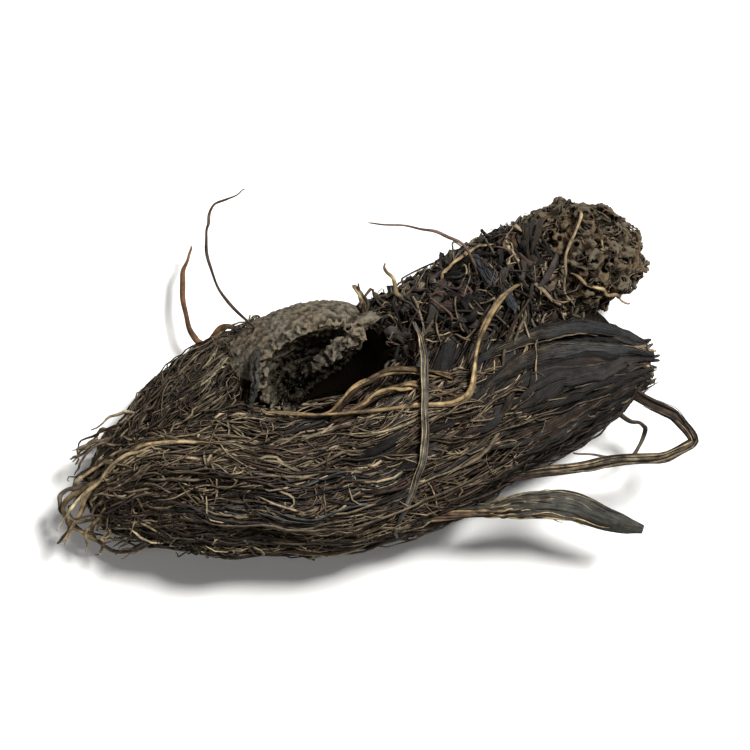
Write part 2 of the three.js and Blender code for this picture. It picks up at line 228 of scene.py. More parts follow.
def dried_fibre(name, roughness, specular, wrinkle_depth, wrinkles, streak, mottled):
    material, tree = new_material(name)
    colour = add_node(tree, "ShaderNodeAttribute", attribute_name="fibre_colour")
    place = add_node(tree, "ShaderNodeTexCoord")
    mottle = add_node(tree, "ShaderNodeTexNoise", {
        "Vector": place.outputs["Object"], "Scale": 1 / FIBRE_MOTTLE, "Detail": 4.0, "Roughness": 0.65})
    shade = add_node(tree, "ShaderNodeMapRange", {
        "Value": mottle.outputs["Fac"], "From Min": 0.36, "From Max": 0.66,
        "To Min": mottled[0], "To Max": mottled[1]})
    skin_colour = add_node(tree, "ShaderNodeVectorMath", {0: colour.outputs["Color"]}, operation="SCALE")
    tree.links.new(shade.outputs["Result"], skin_colour.inputs["Scale"])
    lengthwise = add_node(tree, "ShaderNodeAttribute", attribute_name="root_place")
    stretched = add_node(tree, "ShaderNodeMapping", {
        "Vector": lengthwise.outputs["Vector"], "Scale": (*wrinkles, 1.0)})
    wrinkle = add_node(tree, "ShaderNodeTexNoise", {
        "Vector": stretched.outputs["Vector"], "Scale": 1.0, "Detail": 5.0, "Roughness": 0.62})
    streaks = add_node(tree, "ShaderNodeMapRange", {
        "Value": wrinkle.outputs["Fac"], "From Min": 0.35, "From Max": 0.65,
        "To Min": 1 - streak, "To Max": 1 + streak})
    streaked = add_node(tree, "ShaderNodeVectorMath", {0: skin_colour.outputs["Vector"]}, operation="SCALE")
    tree.links.new(streaks.outputs["Result"], streaked.inputs["Scale"])
    bump = add_node(tree, "ShaderNodeBump", {
        "Height": wrinkle.outputs["Fac"], "Strength": 0.8, "Distance": wrinkle_depth})
    shader = add_node(tree, "ShaderNodeBsdfPrincipled", {
        "Base Color": streaked.outputs["Vector"], "Roughness": roughness, "Specular IOR Level": specular,
        "Normal": bump.outputs["Normal"]})
    add_node(tree, "ShaderNodeOutputMaterial", {"Surface": shader.outputs["BSDF"]})
    return material


root_fibre = dried_fibre("dried_root_fibre", roughness=0.62, specular=0.14, wrinkle_depth=0.06 * MM,
                         wrinkles=ROOT_WRINKLES, streak=0.15, mottled=(0.38, 1.5))
leaf_fibre = dried_fibre("dried_leaf_base", roughness=0.58, specular=0.16, wrinkle_depth=0.18 * MM,
                         wrinkles=LEAF_WRINKLES, streak=0.5, mottled=(0.6, 1.3))
print("fibre materials:", root_fibre.name, leaf_fibre.name)

# %% [markdown]
# Bark on a rhizome is crumbly. It is light on the knobs, where it has been rubbed, and nearly black in the
# pits, which is painted shade. The relief is stored on the mesh, with the painted shade of the hollow in it,
# so the colour follows the shape: a ramp from pit to knob, broken up by grains of bark. The gloss fades out
# in the pits and the hollow.

# %% Rhizome bark
BARK_GRAIN = 0.35 * MM
BARK_PATCH = 2.5 * MM      # patches of rusty and of grey bark
BARK_CLOUD = 4.0 * MM      # broader clouds of light and dark bark


def rhizome_bark(name, pit, flank, knob, places, rust):
    material, tree = new_material(name)
    relief_with_painted_shade = add_node(tree, "ShaderNodeAttribute", attribute_name="relief_with_painted_shade")
    place = add_node(tree, "ShaderNodeTexCoord")
    grain = add_node(tree, "ShaderNodeTexNoise", {
        "Vector": place.outputs["Object"], "Scale": 1 / BARK_GRAIN, "Detail": 5.0, "Roughness": 0.7})
    cloud = add_node(tree, "ShaderNodeTexNoise", {
        "Vector": place.outputs["Object"], "Scale": 1 / BARK_CLOUD, "Detail": 2.0})
    height = add_node(tree, "ShaderNodeMath", {0: relief_with_painted_shade.outputs["Fac"], 1: 0.5}, operation="MULTIPLY")
    with_grain = add_node(tree, "ShaderNodeMath", {
        0: grain.outputs["Fac"], 1: 0.75, 2: height.outputs["Value"]}, operation="MULTIPLY_ADD")
    with_cloud = add_node(tree, "ShaderNodeMath", {
        0: cloud.outputs["Fac"], 1: 0.2, 2: with_grain.outputs["Value"]}, operation="MULTIPLY_ADD")
    ramp = add_node(tree, "ShaderNodeValToRGB", {"Fac": with_cloud.outputs["Value"]})
    stops = ramp.color_ramp.elements
    stops[0].position, stops[0].color = places[0], (*linear(pit), 1)
    stops[1].position, stops[1].color = places[2], (*linear(knob), 1)
    middle = stops.new(places[1])
    middle.color = (*linear(flank), 1)
    rusty = add_node(tree, "ShaderNodeTexNoise", {
        "Vector": place.outputs["Object"], "Scale": 1 / BARK_PATCH, "Detail": 3.0})
    share = add_node(tree, "ShaderNodeMapRange", {
        "Value": rusty.outputs["Fac"], "From Min": 0.42, "From Max": 0.62})
    # Sockets 6 and 7 of a Mix node are its two colours, and output 2 is the colour it makes
    tint = add_node(tree, "ShaderNodeMix", {
        0: share.outputs["Result"], 6: (0.97, 1.0, 1.02, 1), 7: (*rust, 1)}, data_type="RGBA")
    tinted = add_node(tree, "ShaderNodeVectorMath", {
        0: ramp.outputs["Color"], 1: tint.outputs[2]}, operation="MULTIPLY")
    bump = add_node(tree, "ShaderNodeBump", {
        "Height": grain.outputs["Fac"], "Strength": 0.9, "Distance": 0.18 * MM})
    gloss = add_node(tree, "ShaderNodeMapRange", {
        "Value": relief_with_painted_shade.outputs["Fac"], "From Min": -0.2, "From Max": 0.2, "To Min": 0.0, "To Max": 0.06})
    shader = add_node(tree, "ShaderNodeBsdfPrincipled", {
        "Base Color": tinted.outputs["Vector"], "Roughness": 0.9,
        "Specular IOR Level": gloss.outputs["Result"], "Normal": bump.outputs["Normal"]})
    add_node(tree, "ShaderNodeOutputMaterial", {"Surface": shader.outputs["BSDF"]})
    return material


# pit is near black: painted shade for the pits and the hollow
brown_bark = rhizome_bark("brown_rhizome_bark", pit="#080604", flank="#2b241b", knob="#5f5647",
                          places=(0.46, 0.74, 1.0), rust=(1.08, 0.95, 0.84))
grey_bark = rhizome_bark("grey_rhizome_bark", pit="#060504", flank="#3d372e", knob="#6e6658",
                         places=(0.34, 0.58, 1.0), rust=(1.04, 0.99, 0.93))
print("bark materials:", brown_bark.name, grey_bark.name)

# %% [markdown]
# A finished piece is moved from the route's millimetres to the frame's metres, given its material, and tied
# to the model: it rides on the one body, and the solid it stands for is hidden.

# %% Handing a piece to the frame
triangles = {}


def finish_piece(piece, material):
    piece.data.transform(Matrix.Scale(MM, 4) @ Matrix.Translation(-ROUTE_MIDDLE))
    piece.data.materials.clear()
    piece.data.materials.append(material)
    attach(piece, "root")
    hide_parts("valerian_root")
    piece.data.calc_loop_triangles()
    triangles[piece.name] = len(piece.data.loop_triangles)
    print(f"{piece.name}: {triangles[piece.name]} triangles")


def store_number(mesh, name, values):
    attribute = mesh.attributes.new(name, "FLOAT", "POINT")
    attribute.data.foreach_set("value", np.asarray(values, np.float32))


print("each piece is moved by", [round(-v, 2) for v in ROUTE_MIDDLE], "mm, then scaled by", MM)

# %% [markdown]
# Under the roots, the rhizome and the heart of the bundle are dark and seen only through the gaps: their low
# relief makes them partly bark and partly painted shade, and in the hollow it paints them black, as shade.
# Each is a tube along its limb, with grooves that run the same way as the roots. It starts as a cylinder with
# many rings, and code moves each ring to its place. A curve modifier would bend the cylinder too, but it
# scales each ring evenly, and a limb changes from round to flat along its way.

# %% The dark heart of each limb
HEART_GAP = 0.05           # mm between a heart and the floor


def limb_heart(name, stations, rings, sides, ridges, twist, lift):
    bpy.ops.object.select_all(action="DESELECT")
    bpy.ops.mesh.primitive_cylinder_add(vertices=sides, radius=1.0, depth=1.0, end_fill_type="TRIFAN")
    piece = bpy.context.object
    piece.name = name
    bpy.ops.object.mode_set(mode="EDIT")
    bpy.ops.mesh.select_mode(type="EDGE")
    bpy.ops.mesh.select_all(action="DESELECT")
    bpy.ops.object.mode_set(mode="OBJECT")
    for edge in piece.data.edges:
        ends = [piece.data.vertices[v].co for v in edge.vertices]
        edge.select = abs(ends[0].z - ends[1].z) > 0.5
    bpy.ops.object.mode_set(mode="EDIT")
    bpy.ops.mesh.subdivide_edgering(number_cuts=rings - 1, interpolation="LINEAR", smoothness=0.0)
    bpy.ops.object.mode_set(mode="OBJECT")
    count = len(piece.data.vertices)
    spot = np.empty(count * 3)
    piece.data.vertices.foreach_get("co", spot)
    x, y, z = spot.reshape(-1, 3).T
    t, angle = 0.5 - z, np.arctan2(y, x)
    groove = np.abs(np.sin(ridges * angle / 2))
    height = np.hypot(x, y) * lift * (0.88 + 0.12 * groove + 0.03 * np.sin(5 * angle - 17 * t))
    place = pressed(skin(stations, t, angle + twist * t, height))
    place[:, 2] = np.maximum(place[:, 2], HEART_GAP)
    piece.data.vertices.foreach_set("co", place.ravel())
    bpy.ops.object.mode_set(mode="EDIT")
    bpy.ops.mesh.select_all(action="SELECT")
    bpy.ops.mesh.normals_make_consistent(inside=False)
    bpy.ops.object.mode_set(mode="OBJECT")
    bpy.ops.object.shade_smooth()
    # relief below 0 in the hollow paints the heart black there: painted shade
    store_number(piece.data, "relief_with_painted_shade", 0.2 * groove - (in_hollow(place) > 0))
    return piece


bundle_heart = limb_heart("bundle_heart", BUNDLE, rings=70, sides=81, ridges=27, twist=1.1, lift=0.88)
rhizome_heart = limb_heart("rhizome_heart", RHIZOME, rings=56, sides=54, ridges=9, twist=-2.2, lift=0.92)
for heart in (bundle_heart, rhizome_heart):
    finish_piece(heart, brown_bark)

# %% [markdown]
# The colour of a root can be painted into an image later, for programs that don't know Blender's nodes. For
# that, each point needs a place on a flat map. One root is a tube, so its skin unrolls to an upright strip.
# The strips of all roots stand side by side in rows, and the ends of each root lie above and below its
# strip.

# %% A map for the roots
CAP_SHARE = 0.03           # the share of a root's strip of the map that each end takes
STRIP_SHARE = np.array([0.9, 0.92])    # how much of its place a strip fills, across and upwards


def paint_map(mesh, n, p, sides):
    """Gives each root its own upright strip of a square map."""
    rows = max(1, int(np.sqrt(n / 4)))
    columns = int(np.ceil(n / rows))
    corner = np.stack([np.arange(n) % columns / columns, np.arange(n) // columns / rows], -1)
    size = STRIP_SHARE / [columns, rows]
    u0 = np.arange(sides) / sides
    v = CAP_SHARE + (1 - 2 * CAP_SHARE) * np.arange(p) / (p - 1)
    u = np.stack([u0, u0 + 1 / sides, u0 + 1 / sides, u0], -1)
    quad_uv = np.empty((n, p - 1, sides, 4, 2))
    quad_uv[..., 0] = u
    quad_uv[..., 1] = np.stack([v[:-1], v[:-1], v[1:], v[1:]], -1)[:, None]
    turn = np.arange(sides) / sides * 2 * np.pi
    disc = np.stack([0.5 + 0.4 * np.cos(turn), 0.4 * np.sin(turn)], -1)
    cap_uv = np.empty((2, n, sides, 2))
    cap_uv[0] = disc[::-1] * [1, CAP_SHARE] + [0, CAP_SHARE / 2]
    cap_uv[1] = disc * [1, CAP_SHARE] + [0, 1 - CAP_SHARE / 2]
    flat_quads = (quad_uv * size + corner[:, None, None, None]).reshape(-1, 2)
    flat_caps = (cap_uv * size + corner[:, None]).reshape(-1, 2)
    layer = mesh.uv_layers.new(name="OFBake")
    layer.data.foreach_set("uv", np.concatenate([flat_quads, flat_caps]).ravel())


print("each end of a root takes", CAP_SHARE, "of its strip of the map")

# %% [markdown]
# A root is a slim tube round a path, built as a ring of points at each place of it. Each ring needs two
# axes across the path. If they were found anew at each place, the tube would twist, so each pair is turned
# from the pair before it by as little as the bend of the path asks for. Flat strips take an upward
# direction.

# %% Axes across a path


def ring_axes(paths, upward):
    """Two axes across each path at each point. They turn as little as they can, or follow upward."""
    along = unit(np.gradient(paths, axis=1))
    if upward is not None:
        side = unit(np.cross(upward, along))
        return side, np.cross(along, side)
    side = np.empty_like(paths)
    start = np.where(np.abs(along[:, 0, 2:3]) > 0.8, [[1.0, 0, 0]], [[0, 0, 1.0]])
    side[:, 0] = unit(np.cross(start, along[:, 0]))
    for j in range(1, paths.shape[1]):
        last = side[:, j - 1]
        side[:, j] = unit(last - along[:, j] * (last * along[:, j]).sum(-1, keepdims=True))
    return side, np.cross(along, side)


upright = np.array([[(0.0, 0, 0), (0, 0, 1), (0, 0, 2)]])
print("first axis across an upright path:", ring_axes(upright, None)[0][0, 0].tolist())

# %% [markdown]
# A root is a slim tube that thins towards its tip. There are thousands, so they are not modelled one by one
# by hand: one function turns a table of paths into one mesh. Every root brings its own colour, and two
# numbers for its wrinkles: how far round the root a point lies, and how many millimetres along it.

# %% Many roots in one mesh
FLOOR_GAP = 0.02           # mm between the lowest roots and the floor
NOISE_STEP = 7.3           # each root reads the noise of its wrinkles this far from the last one


def root_mesh(name, paths, radii, colours, sides, upward=None, section=None):
    """paths: roots x points x 3, mm. radii: roots x points. colours: roots x points x 3, linear, or None.
    A section other than round is given as its places across and above, in radii."""
    n, p, _ = paths.shape
    side, top = ring_axes(paths, upward)
    turn = np.arange(sides) / sides * 2 * np.pi
    across, above = (np.cos(turn), np.sin(turn)) if section is None else section
    rings = (paths[:, :, None] + side[:, :, None] * (radii[:, :, None] * across)[..., None]
             + top[:, :, None] * (radii[:, :, None] * above)[..., None])
    rings[..., 2] = np.maximum(rings[..., 2], FLOOR_GAP)
    number = np.arange(n * p * sides).reshape(n, p, sides)
    after = np.roll(number, -1, axis=2)
    quads = np.stack([number[:, :-1], after[:, :-1], after[:, 1:], number[:, 1:]], -1).reshape(-1, 4)
    caps = np.concatenate([number[:, 0, ::-1], number[:, -1]])
    mesh = bpy.data.meshes.new(name)
    mesh.from_pydata(rings.reshape(-1, 3).tolist(), [], quads.tolist() + caps.tolist())
    piece = bpy.data.objects.new(name, mesh)
    bpy.context.scene.collection.objects.link(piece)
    if colours is None:
        return piece
    paint_map(mesh, n, p, sides)
    colour = mesh.attributes.new("fibre_colour", "FLOAT_COLOR", "POINT")
    whole = np.ones((n, p, sides, 4), np.float32)
    whole[..., :3] = colours[:, :, None]
    colour.data.foreach_set("color", whole.ravel())
    reach = np.zeros((n, p))
    reach[:, 1:] = np.cumsum(np.linalg.norm(np.diff(paths, axis=1), axis=2), axis=1)
    place = np.empty((n, p, sides, 3), np.float32)
    place[..., 0] = np.abs(np.arange(sides) / sides - 0.5) * 2
    place[..., 1] = reach[:, :, None]
    place[..., 2] = np.arange(n)[:, None, None] * NOISE_STEP
    mesh.attributes.new("root_place", "FLOAT_VECTOR", "POINT").data.foreach_set("vector", place.ravel())
    mesh.shade_smooth()
    return piece


print("a root never comes closer to the floor than", FLOOR_GAP, "mm")

# %% [markdown]
# No root is straight. Each one sways over a centimetre and kinks over two or three millimetres, where it
# dried round its neighbours. Waves of a few lengths, each with its own start, give that. All chance comes
# from one seeded generator, so that every run gives the same root.

# %% How a root wanders
SEED = 7
rng = np.random.default_rng(SEED)


def wander(count, points, length, waves):
    """Sideways drift of each path. waves: rows of size and wavelength, mm."""
    length = np.broadcast_to(length, (count,))
    at = np.linspace(0, 1, points)[None, :, None] * length[:, None, None]
    drift = np.zeros((count, points, 3))
    for size, wavelength in waves:
        pace = wavelength * rng.uniform(0.7, 1.4, (count, 1, 3))
        drift += size * rng.uniform(0.4, 1.4, (count, 1, 1)) * np.sin(
            2 * np.pi * (at / pace + rng.random((count, 1, 3))))
    return drift


print("seed of all chance:", SEED)

# %% [markdown]
# In a real bundle a root pushes the next one aside, so neighbours also sway together. A second set of waves
# does that: it depends on the place alone, and has no chance in it. With it the locks wind as one, and the
# gaps between them stay open.

# %% How neighbours sway together
SWAY_TURNS = [0.3, -0.7, 0.9, -0.3, 0.6, -1.0, 0.2, 0.8, -0.5]    # which way each shared wave runs, radians
SWAYS = len(SWAY_TURNS)
SWAY_LENGTHS, SWAY_SIZES = np.linspace(2.9, 11.0, SWAYS), np.linspace(0.04, 0.19, SWAYS)    # mm
SWAY_WAVES = [(2 * np.pi / length * np.array([np.cos(turn), np.sin(turn), up]), phase, size)
              for length, turn, up, phase, size in zip(
                  SWAY_LENGTHS, SWAY_TURNS, 0.3 * np.cos(np.arange(SWAYS) * 2.0), np.arange(SWAYS) * 2.4,
                  SWAY_SIZES)]


def swayed(paths, share=1.0):
    """Neighbours sway together: each point is moved by waves that depend on its place alone."""
    moved = paths.copy()
    for number, (wave, phase, size) in enumerate(SWAY_WAVES):
        swing = share * size * np.sin(paths @ wave + phase)
        moved[..., 1] += swing * np.cos(number)
        moved[..., 2] += 0.7 * swing * np.sin(number)
    return moved


print("neighbours share waves", SWAY_LENGTHS[0], "to", SWAY_LENGTHS[-1], "mm long")

# %% [markdown]
# Thickness changes along a root too. It is full for most of the way, thinner at both ends, and a little
# uneven, because a root shrinks unevenly as it dries. Smooth random curves serve for what changes slowly
# along a path.

# %% How a root thins
TIP_SHARE = 0.35           # of its thickness that a root keeps at its two ends, unless it is told otherwise


def smooth_noise(count, points, beats):
    """Smooth random curves, from about -1 to 1, with so many beats along each."""
    s = np.linspace(0, 1, points)[None]
    total = np.zeros((count, points))
    for beat in beats:
        total += np.sin(2 * np.pi * (s * beat * rng.uniform(0.6, 1.4, (count, 1)) + rng.random((count, 1))))
    return total / len(beats)


def taper(count, points, radius, tip=TIP_SHARE, jitter=0.12):
    """Radius along each root: full for most of its way, thinner at both ends."""
    s = np.linspace(0, 1, points)
    profile = tip + (1 - tip) * np.clip(np.minimum(s / 0.12, (1 - s) / 0.3), 0, 1) ** 0.7
    own = rng.uniform(*radius, (count, 1))
    bumps = 1 + jitter * np.sin(2 * np.pi * (s * rng.uniform(2, 6, (count, 1)) + rng.random((count, 1))))
    return own * profile * bumps


print("a root keeps", round(100 * TIP_SHARE), "% of its thickness at its ends")

# %% [markdown]
# Roots cling in locks, which is why a bundle has ridges and dark gaps: the neighbours in a lock share a
# route and twist round it. A route starts at a share of the limb's length and spans another share of it.
# Its lift says how far out it lies, with 1 on the skin of the limb, and its slope how fast it winds round
# the limb.

# %% Locks of roots
GOLDEN_SHARE = 0.618034    # of a turn from one lock to the next, so that no two lie in line


def lock_paths(stations, limb_length, locks, per_lock, points, start, span, lift, lock_size, slope, waves,
               angles=(0, 2 * np.pi)):
    """Paths of roots in locks along a limb. Returns the paths and the lock of each."""
    count = locks * per_lock
    each = np.repeat(np.arange(locks), per_lock)
    around = angles[0] + (np.arange(locks) * GOLDEN_SHARE % 1) * (angles[1] - angles[0])
    t0, reach = rng.uniform(*start, locks), rng.uniform(*span, locks)
    lean, swing = rng.uniform(*slope, locks), rng.uniform(0, 0.12, locks)
    beat, phase, height = rng.uniform(0.6, 1.6, locks), rng.random(locks), rng.uniform(*lift, locks)
    size = rng.uniform(*lock_size, locks)
    s = (rng.uniform(-0.12, 0.22, (count, 1)) + rng.uniform(0.7, 1.0, (count, 1)) * np.linspace(0, 1, points))
    t = np.clip(t0[each, None] + reach[each, None] * s, 0.0, 1.0)
    round_lock = rng.random((count, 1)) * 2 * np.pi + rng.uniform(-2.5, 2.5, (count, 1)) * s
    apart = size[each, None] * np.sqrt(rng.random((count, 1)))
    apart = apart * (0.55 + 0.45 * np.sin(np.pi * np.clip(s, 0, 1)))
    half = np.maximum(smooth_row(stations, t)[..., 3:], 1.2)
    angle = (around[each, None] + lean[each, None] * reach[each, None] * s
             + swing[each, None] * np.sin(2 * np.pi * (beat[each, None] * s + phase[each, None]))
             + apart * np.cos(round_lock) / half[..., 0])
    up = height[each, None] + apart * np.sin(round_lock) / half[..., 1]
    ends = 0.07 * (1 - np.clip(np.sin(np.pi * np.linspace(0, 1, points)) * 3, 0, 1))
    paths = skin(stations, t, angle, up - ends)
    paths += wander(count, points, (reach * limb_length)[each], waves)
    return paths, each


print("from one lock to the next:", round(360 * GOLDEN_SHARE, 1), "degrees round the limb")

# %% [markdown]
# A root takes its colour from a palette, which lists sRGB colours and how common each is. The roots of a
# lock are more alike than others. Along its way a root has blotches, and it gets a little lighter to its
# tip, where the dark skin has rubbed off.

# %% Colours of roots
COLOUR_SPREAD = 0.14       # how far roots of one colour differ in brightness


def pick_colours(palette, count, locks=None):
    """One linear colour for each root, from rows of hex colour and share."""
    shares = np.array([share for _, share in palette])
    table = np.array([linear(hex_colour) for hex_colour, _ in palette])
    picked = table[rng.choice(len(palette), count, p=shares / shares.sum())]
    if locks is not None:
        own = table[rng.choice(len(palette), locks.max() + 1, p=shares / shares.sum())]
        picked = 0.45 * picked + 0.55 * own[locks]
    return picked * np.exp(rng.normal(0, COLOUR_SPREAD, (count, 1)))


def along_root(colours, points, tip_light=0.2, blotches=0.22):
    """Spreads each root's colour along it, in blotches, and a little lighter towards the tip."""
    s = np.linspace(0, 1, points)[None, :]
    light = np.exp(blotches * smooth_noise(len(colours), points, (1.5, 4.0))) * (1 + tip_light * (s - 0.4))
    return np.clip(colours[:, None] * light[..., None], 0, 1)


print("roots of one colour differ by about", round(100 * COLOUR_SPREAD), "% in brightness")

# %% [markdown]
# The crowns are the blunt ends of the rhizome. In the solid each has rounded knobs, spread by the golden
# angle, and the looks have the same knobs in the same places. A point is high when its direction from the
# middle of the crown is close to that of a knob, and the directions are warped a little, so that no knob is
# quite round.

# %% Knobs of a crown
GOLDEN_ANGLE = np.pi * (3 - 5 ** 0.5)


def knob_height(directions, count):
    """1 on top of a knob, falling to about 0 in the grooves between."""
    x, y, z = directions.T
    warped = unit(np.stack([
        x + 0.16 * np.sin(5 * y + 1), y + 0.16 * np.sin(5 * z + 2), z + 0.16 * np.sin(5 * x)], 1))
    i = np.arange(count)
    height = 1 - (2 * i + 1) / count
    flat = np.sqrt(1 - height ** 2)
    knobs = np.stack([flat * np.cos(i * GOLDEN_ANGLE), flat * np.sin(i * GOLDEN_ANGLE), height], 1)
    nearest = (2 - 2 * (warped @ knobs.T)).min(axis=1)
    return 1 - nearest * count / np.pi / 1.6


def noise_at(points, size, octaves, offset):
    """Noise of patches about size mm across, from about -1 to 1."""
    shift = Vector((offset, 2 * offset, 3 * offset))
    return np.array([noise.fractal(Vector(p) / size + shift, 1.0, 2.0, octaves) for p in points])


print("knobs are", round(np.degrees(GOLDEN_ANGLE), 1), "degrees apart round the crown")

# %% [markdown]
# A crown is an ellipsoid, turned about the vertical. A direction from its middle names a place on it, as
# latitude and longitude do on a globe, so knobs, lumps and roots are all laid on it by direction. An
# icosphere is a good start for it, because its faces are even all over. Lumps and pits a few millimetres
# wide are pushed into it too.

# %% The body of a crown
CROWN_GAP = 0.1            # mm between a crown and the floor
LUMP_SIZE, LUMP_DEPTH = 0.42, 0.17     # in shares of the crown's radius: how wide and how deep its lumps are


class Crown:
    """An ellipsoid, turned about the vertical."""

    def __init__(self, middle, radii, turn):
        self.middle, self.radii = np.array(middle), np.array(radii)
        cos, sin = np.cos(turn), np.sin(turn)
        self.rotation = np.array([[cos, -sin, 0], [sin, cos, 0], [0, 0, 1]])

    def at(self, directions, lift):
        """Points in the given directions. lift 1 is on the skin."""
        return (directions * self.radii * np.asarray(lift)[..., None]) @ self.rotation.T + self.middle


def lumps(directions, size, depth):
    """Lift of a lumpy skin: 1 on its highest parts, and less by depth in its lowest."""
    height = noise_at(directions.reshape(-1, 3), size, 2, 3.0).reshape(directions.shape[:-1])
    return 1 - depth * np.clip(0.5 - height, 0, 1)


def crown_body(name, crown, knobs, knob_relief, lift, lump_depth=0.0):
    bpy.ops.object.select_all(action="DESELECT")
    bpy.ops.mesh.primitive_ico_sphere_add(subdivisions=6, radius=1.0)
    body = bpy.context.object
    body.name = name
    spot = np.empty(len(body.data.vertices) * 3)
    body.data.vertices.foreach_get("co", spot)
    directions = unit(spot.reshape(-1, 3))
    knobbly = lift - knob_relief + knob_relief * knob_height(directions, knobs)
    place = pressed(crown.at(directions, knobbly * lumps(directions, LUMP_SIZE, lump_depth)))
    place[:, 2] = np.maximum(place[:, 2], CROWN_GAP)
    body.data.vertices.foreach_set("co", place.ravel())
    return body


print("lumps take up to", round(100 * LUMP_DEPTH), "% off the radius of the brown crown")

# %% [markdown]
# Close up, the brown crown is a knot of short roots and stubs that dried into each other, with dark holes
# between them. So it is made the way it grew: short curling roots and open rings are laid over the body.
# Each is a row of directions from the middle of the crown, and its heading turns a little at every step.

# %% Roots that curl over a crown


def curls(count, points, reach, bend):
    """Directions of paths that wander over a ball: count x points x 3. reach is in radians."""
    here = unit(rng.normal(size=(count, 3)))
    heading = rng.normal(size=(count, 3))
    turning = rng.uniform(-bend, bend, (count, 1))
    rows = [here]
    for _ in range(points - 1):
        heading = unit(heading - here * (heading * here).sum(-1, keepdims=True))
        turning = 0.8 * turning + rng.uniform(-bend, bend, (count, 1))
        heading = unit(heading + np.cross(here, heading) * turning)
        here = unit(here + heading * reach / (points - 1))
        rows.append(here)
    return np.stack(rows, 1)


def rings_on(count, points, size):
    """Directions of closed rings on a ball."""
    middle = unit(rng.normal(size=(count, 3)))[:, None]
    side = unit(np.cross(middle, rng.normal(size=(count, 1, 3))))
    turn = np.linspace(0, 2 * np.pi, points)[None, :, None]
    radius = rng.uniform(*size, (count, 1, 1))
    return unit(middle + radius * (np.cos(turn) * side + np.sin(turn) * np.cross(middle, side)))


print("reach is an angle: 0.6 is", round(np.degrees(0.6)), "degrees round the crown")

# %% [markdown]
# A voxel remesh melts the body and what lies on it into one skin, as a sculptor would. Joined meshes would
# show a hard line wherever two of them cross, and real bark has no such lines.

# %% One skin of bark


def melted(name, body, extras, voxel):
    """Joins the extras to the body and melts them into one skin."""
    bpy.ops.object.select_all(action="DESELECT")
    for extra in extras:
        extra.select_set(True)
    body.select_set(True)
    bpy.context.view_layer.objects.active = body
    bpy.ops.object.join()
    bpy.ops.object.modifier_add(type="REMESH")
    remesh = body.modifiers[-1]
    remesh.mode, remesh.voxel_size = "VOXEL", voxel
    bpy.ops.object.modifier_apply(modifier=remesh.name)
    body.name = name
    return body


print("the smaller the voxel, the finer the skin, and the more triangles it takes")

# %% [markdown]
# Fine noise then gives the grain of bark. How far each point stands out from the skin around it is stored
# as relief, and the bark takes its colour from that, with painted shade in the pits and the hollow. The skin
# around a point is found by averaging neighbours.

# %% Grain and relief
RELIEF_PASSES = 16         # neighbours averaged, one voxel further with each pass


def standing_out(mesh, spot, normal, passes):
    """How far each point stands out from the skin around it, in mm."""
    ends = np.empty(len(mesh.edges) * 2, int)
    mesh.edges.foreach_get("vertices", ends)
    one, other = ends.reshape(-1, 2).T
    here, near = np.concatenate([one, other]), np.concatenate([other, one])
    count = np.maximum(np.bincount(here, minlength=len(spot)), 1)
    smooth = spot
    for _ in range(passes):
        total = [np.bincount(here, smooth[near, k], len(spot)) for k in range(3)]
        smooth = np.stack(total, 1) / count[:, None]
    return ((spot - smooth) * normal).sum(1)


def roughened(piece, layers, hollow_shade=0.0):
    """Fine noise pushes the skin in and out. layers: rows of depth and width, mm. hollow_shade paints shade
    into the hollow, darker the deeper a point lies. Relief is stored as the share of the skin that stands out
    less, lowered in the hollow by that painted shade."""
    mesh = piece.data
    count = len(mesh.vertices)
    spot, normal = np.empty(count * 3), np.empty(count * 3)
    mesh.vertices.foreach_get("co", spot)
    mesh.vertices.foreach_get("normal", normal)
    spot, normal = spot.reshape(-1, 3), normal.reshape(-1, 3)
    grain = sum(size * noise_at(spot, across, 2, 7.0 * across) for size, across in layers)
    place = spot + normal * grain[:, None]
    place[:, 2] = np.maximum(place[:, 2], FLOOR_GAP)
    mesh.vertices.foreach_set("co", place.ravel())
    height = standing_out(mesh, place, normal, RELIEF_PASSES)
    rank = np.empty(count)
    rank[np.argsort(height)] = np.linspace(0, 1, count)
    # painted shade: the deeper a point lies in the hollow, the lower its relief and the darker its bark
    deep = np.clip(2 * in_hollow(place), 0, 1) * np.clip((HOLLOW_RIM - 1 - place[:, 2]) / 2, 0, 1)
    store_number(mesh, "relief_with_painted_shade", rank * (1 - hollow_shade * deep))
    bpy.ops.object.shade_smooth()


print("relief is measured against the skin", RELIEF_PASSES, "voxels around")

# %% [markdown]
# The brown crown takes more than 800 curls and rings. The thick ones lie deep, and the thin ones on top.
# Around each ring the skin closes to a small knot with a hole, as where a root has broken off.

# %% The brown crown
BROWN = Crown((19.6, 13.6, 5.9), (6.4, 5.2, 6.5), -0.15)
RINGS, RING_POINTS = 34, 14


def bits(name, paths, radius, tip, jitter, sides=6):
    """Short roots, pegs or crumbs in one mesh without colours, to be melted into a crown."""
    count, points, _ = paths.shape
    return root_mesh(name, paths, taper(count, points, radius, tip, jitter), None, sides)


def curls_on_crown(name, count, points, reach, bend, radius, low, high):
    """Curling roots that follow the lumps of the brown crown."""
    ways = curls(count, points, reach, bend)
    lift = rng.uniform(low, high, (count, 1)) + 0.04 * np.sin(np.linspace(0, np.pi, points))
    lift = lift * lumps(ways, LUMP_SIZE, LUMP_DEPTH)
    return bits(name, BROWN.at(ways, lift), radius, 0.4, 0.3)


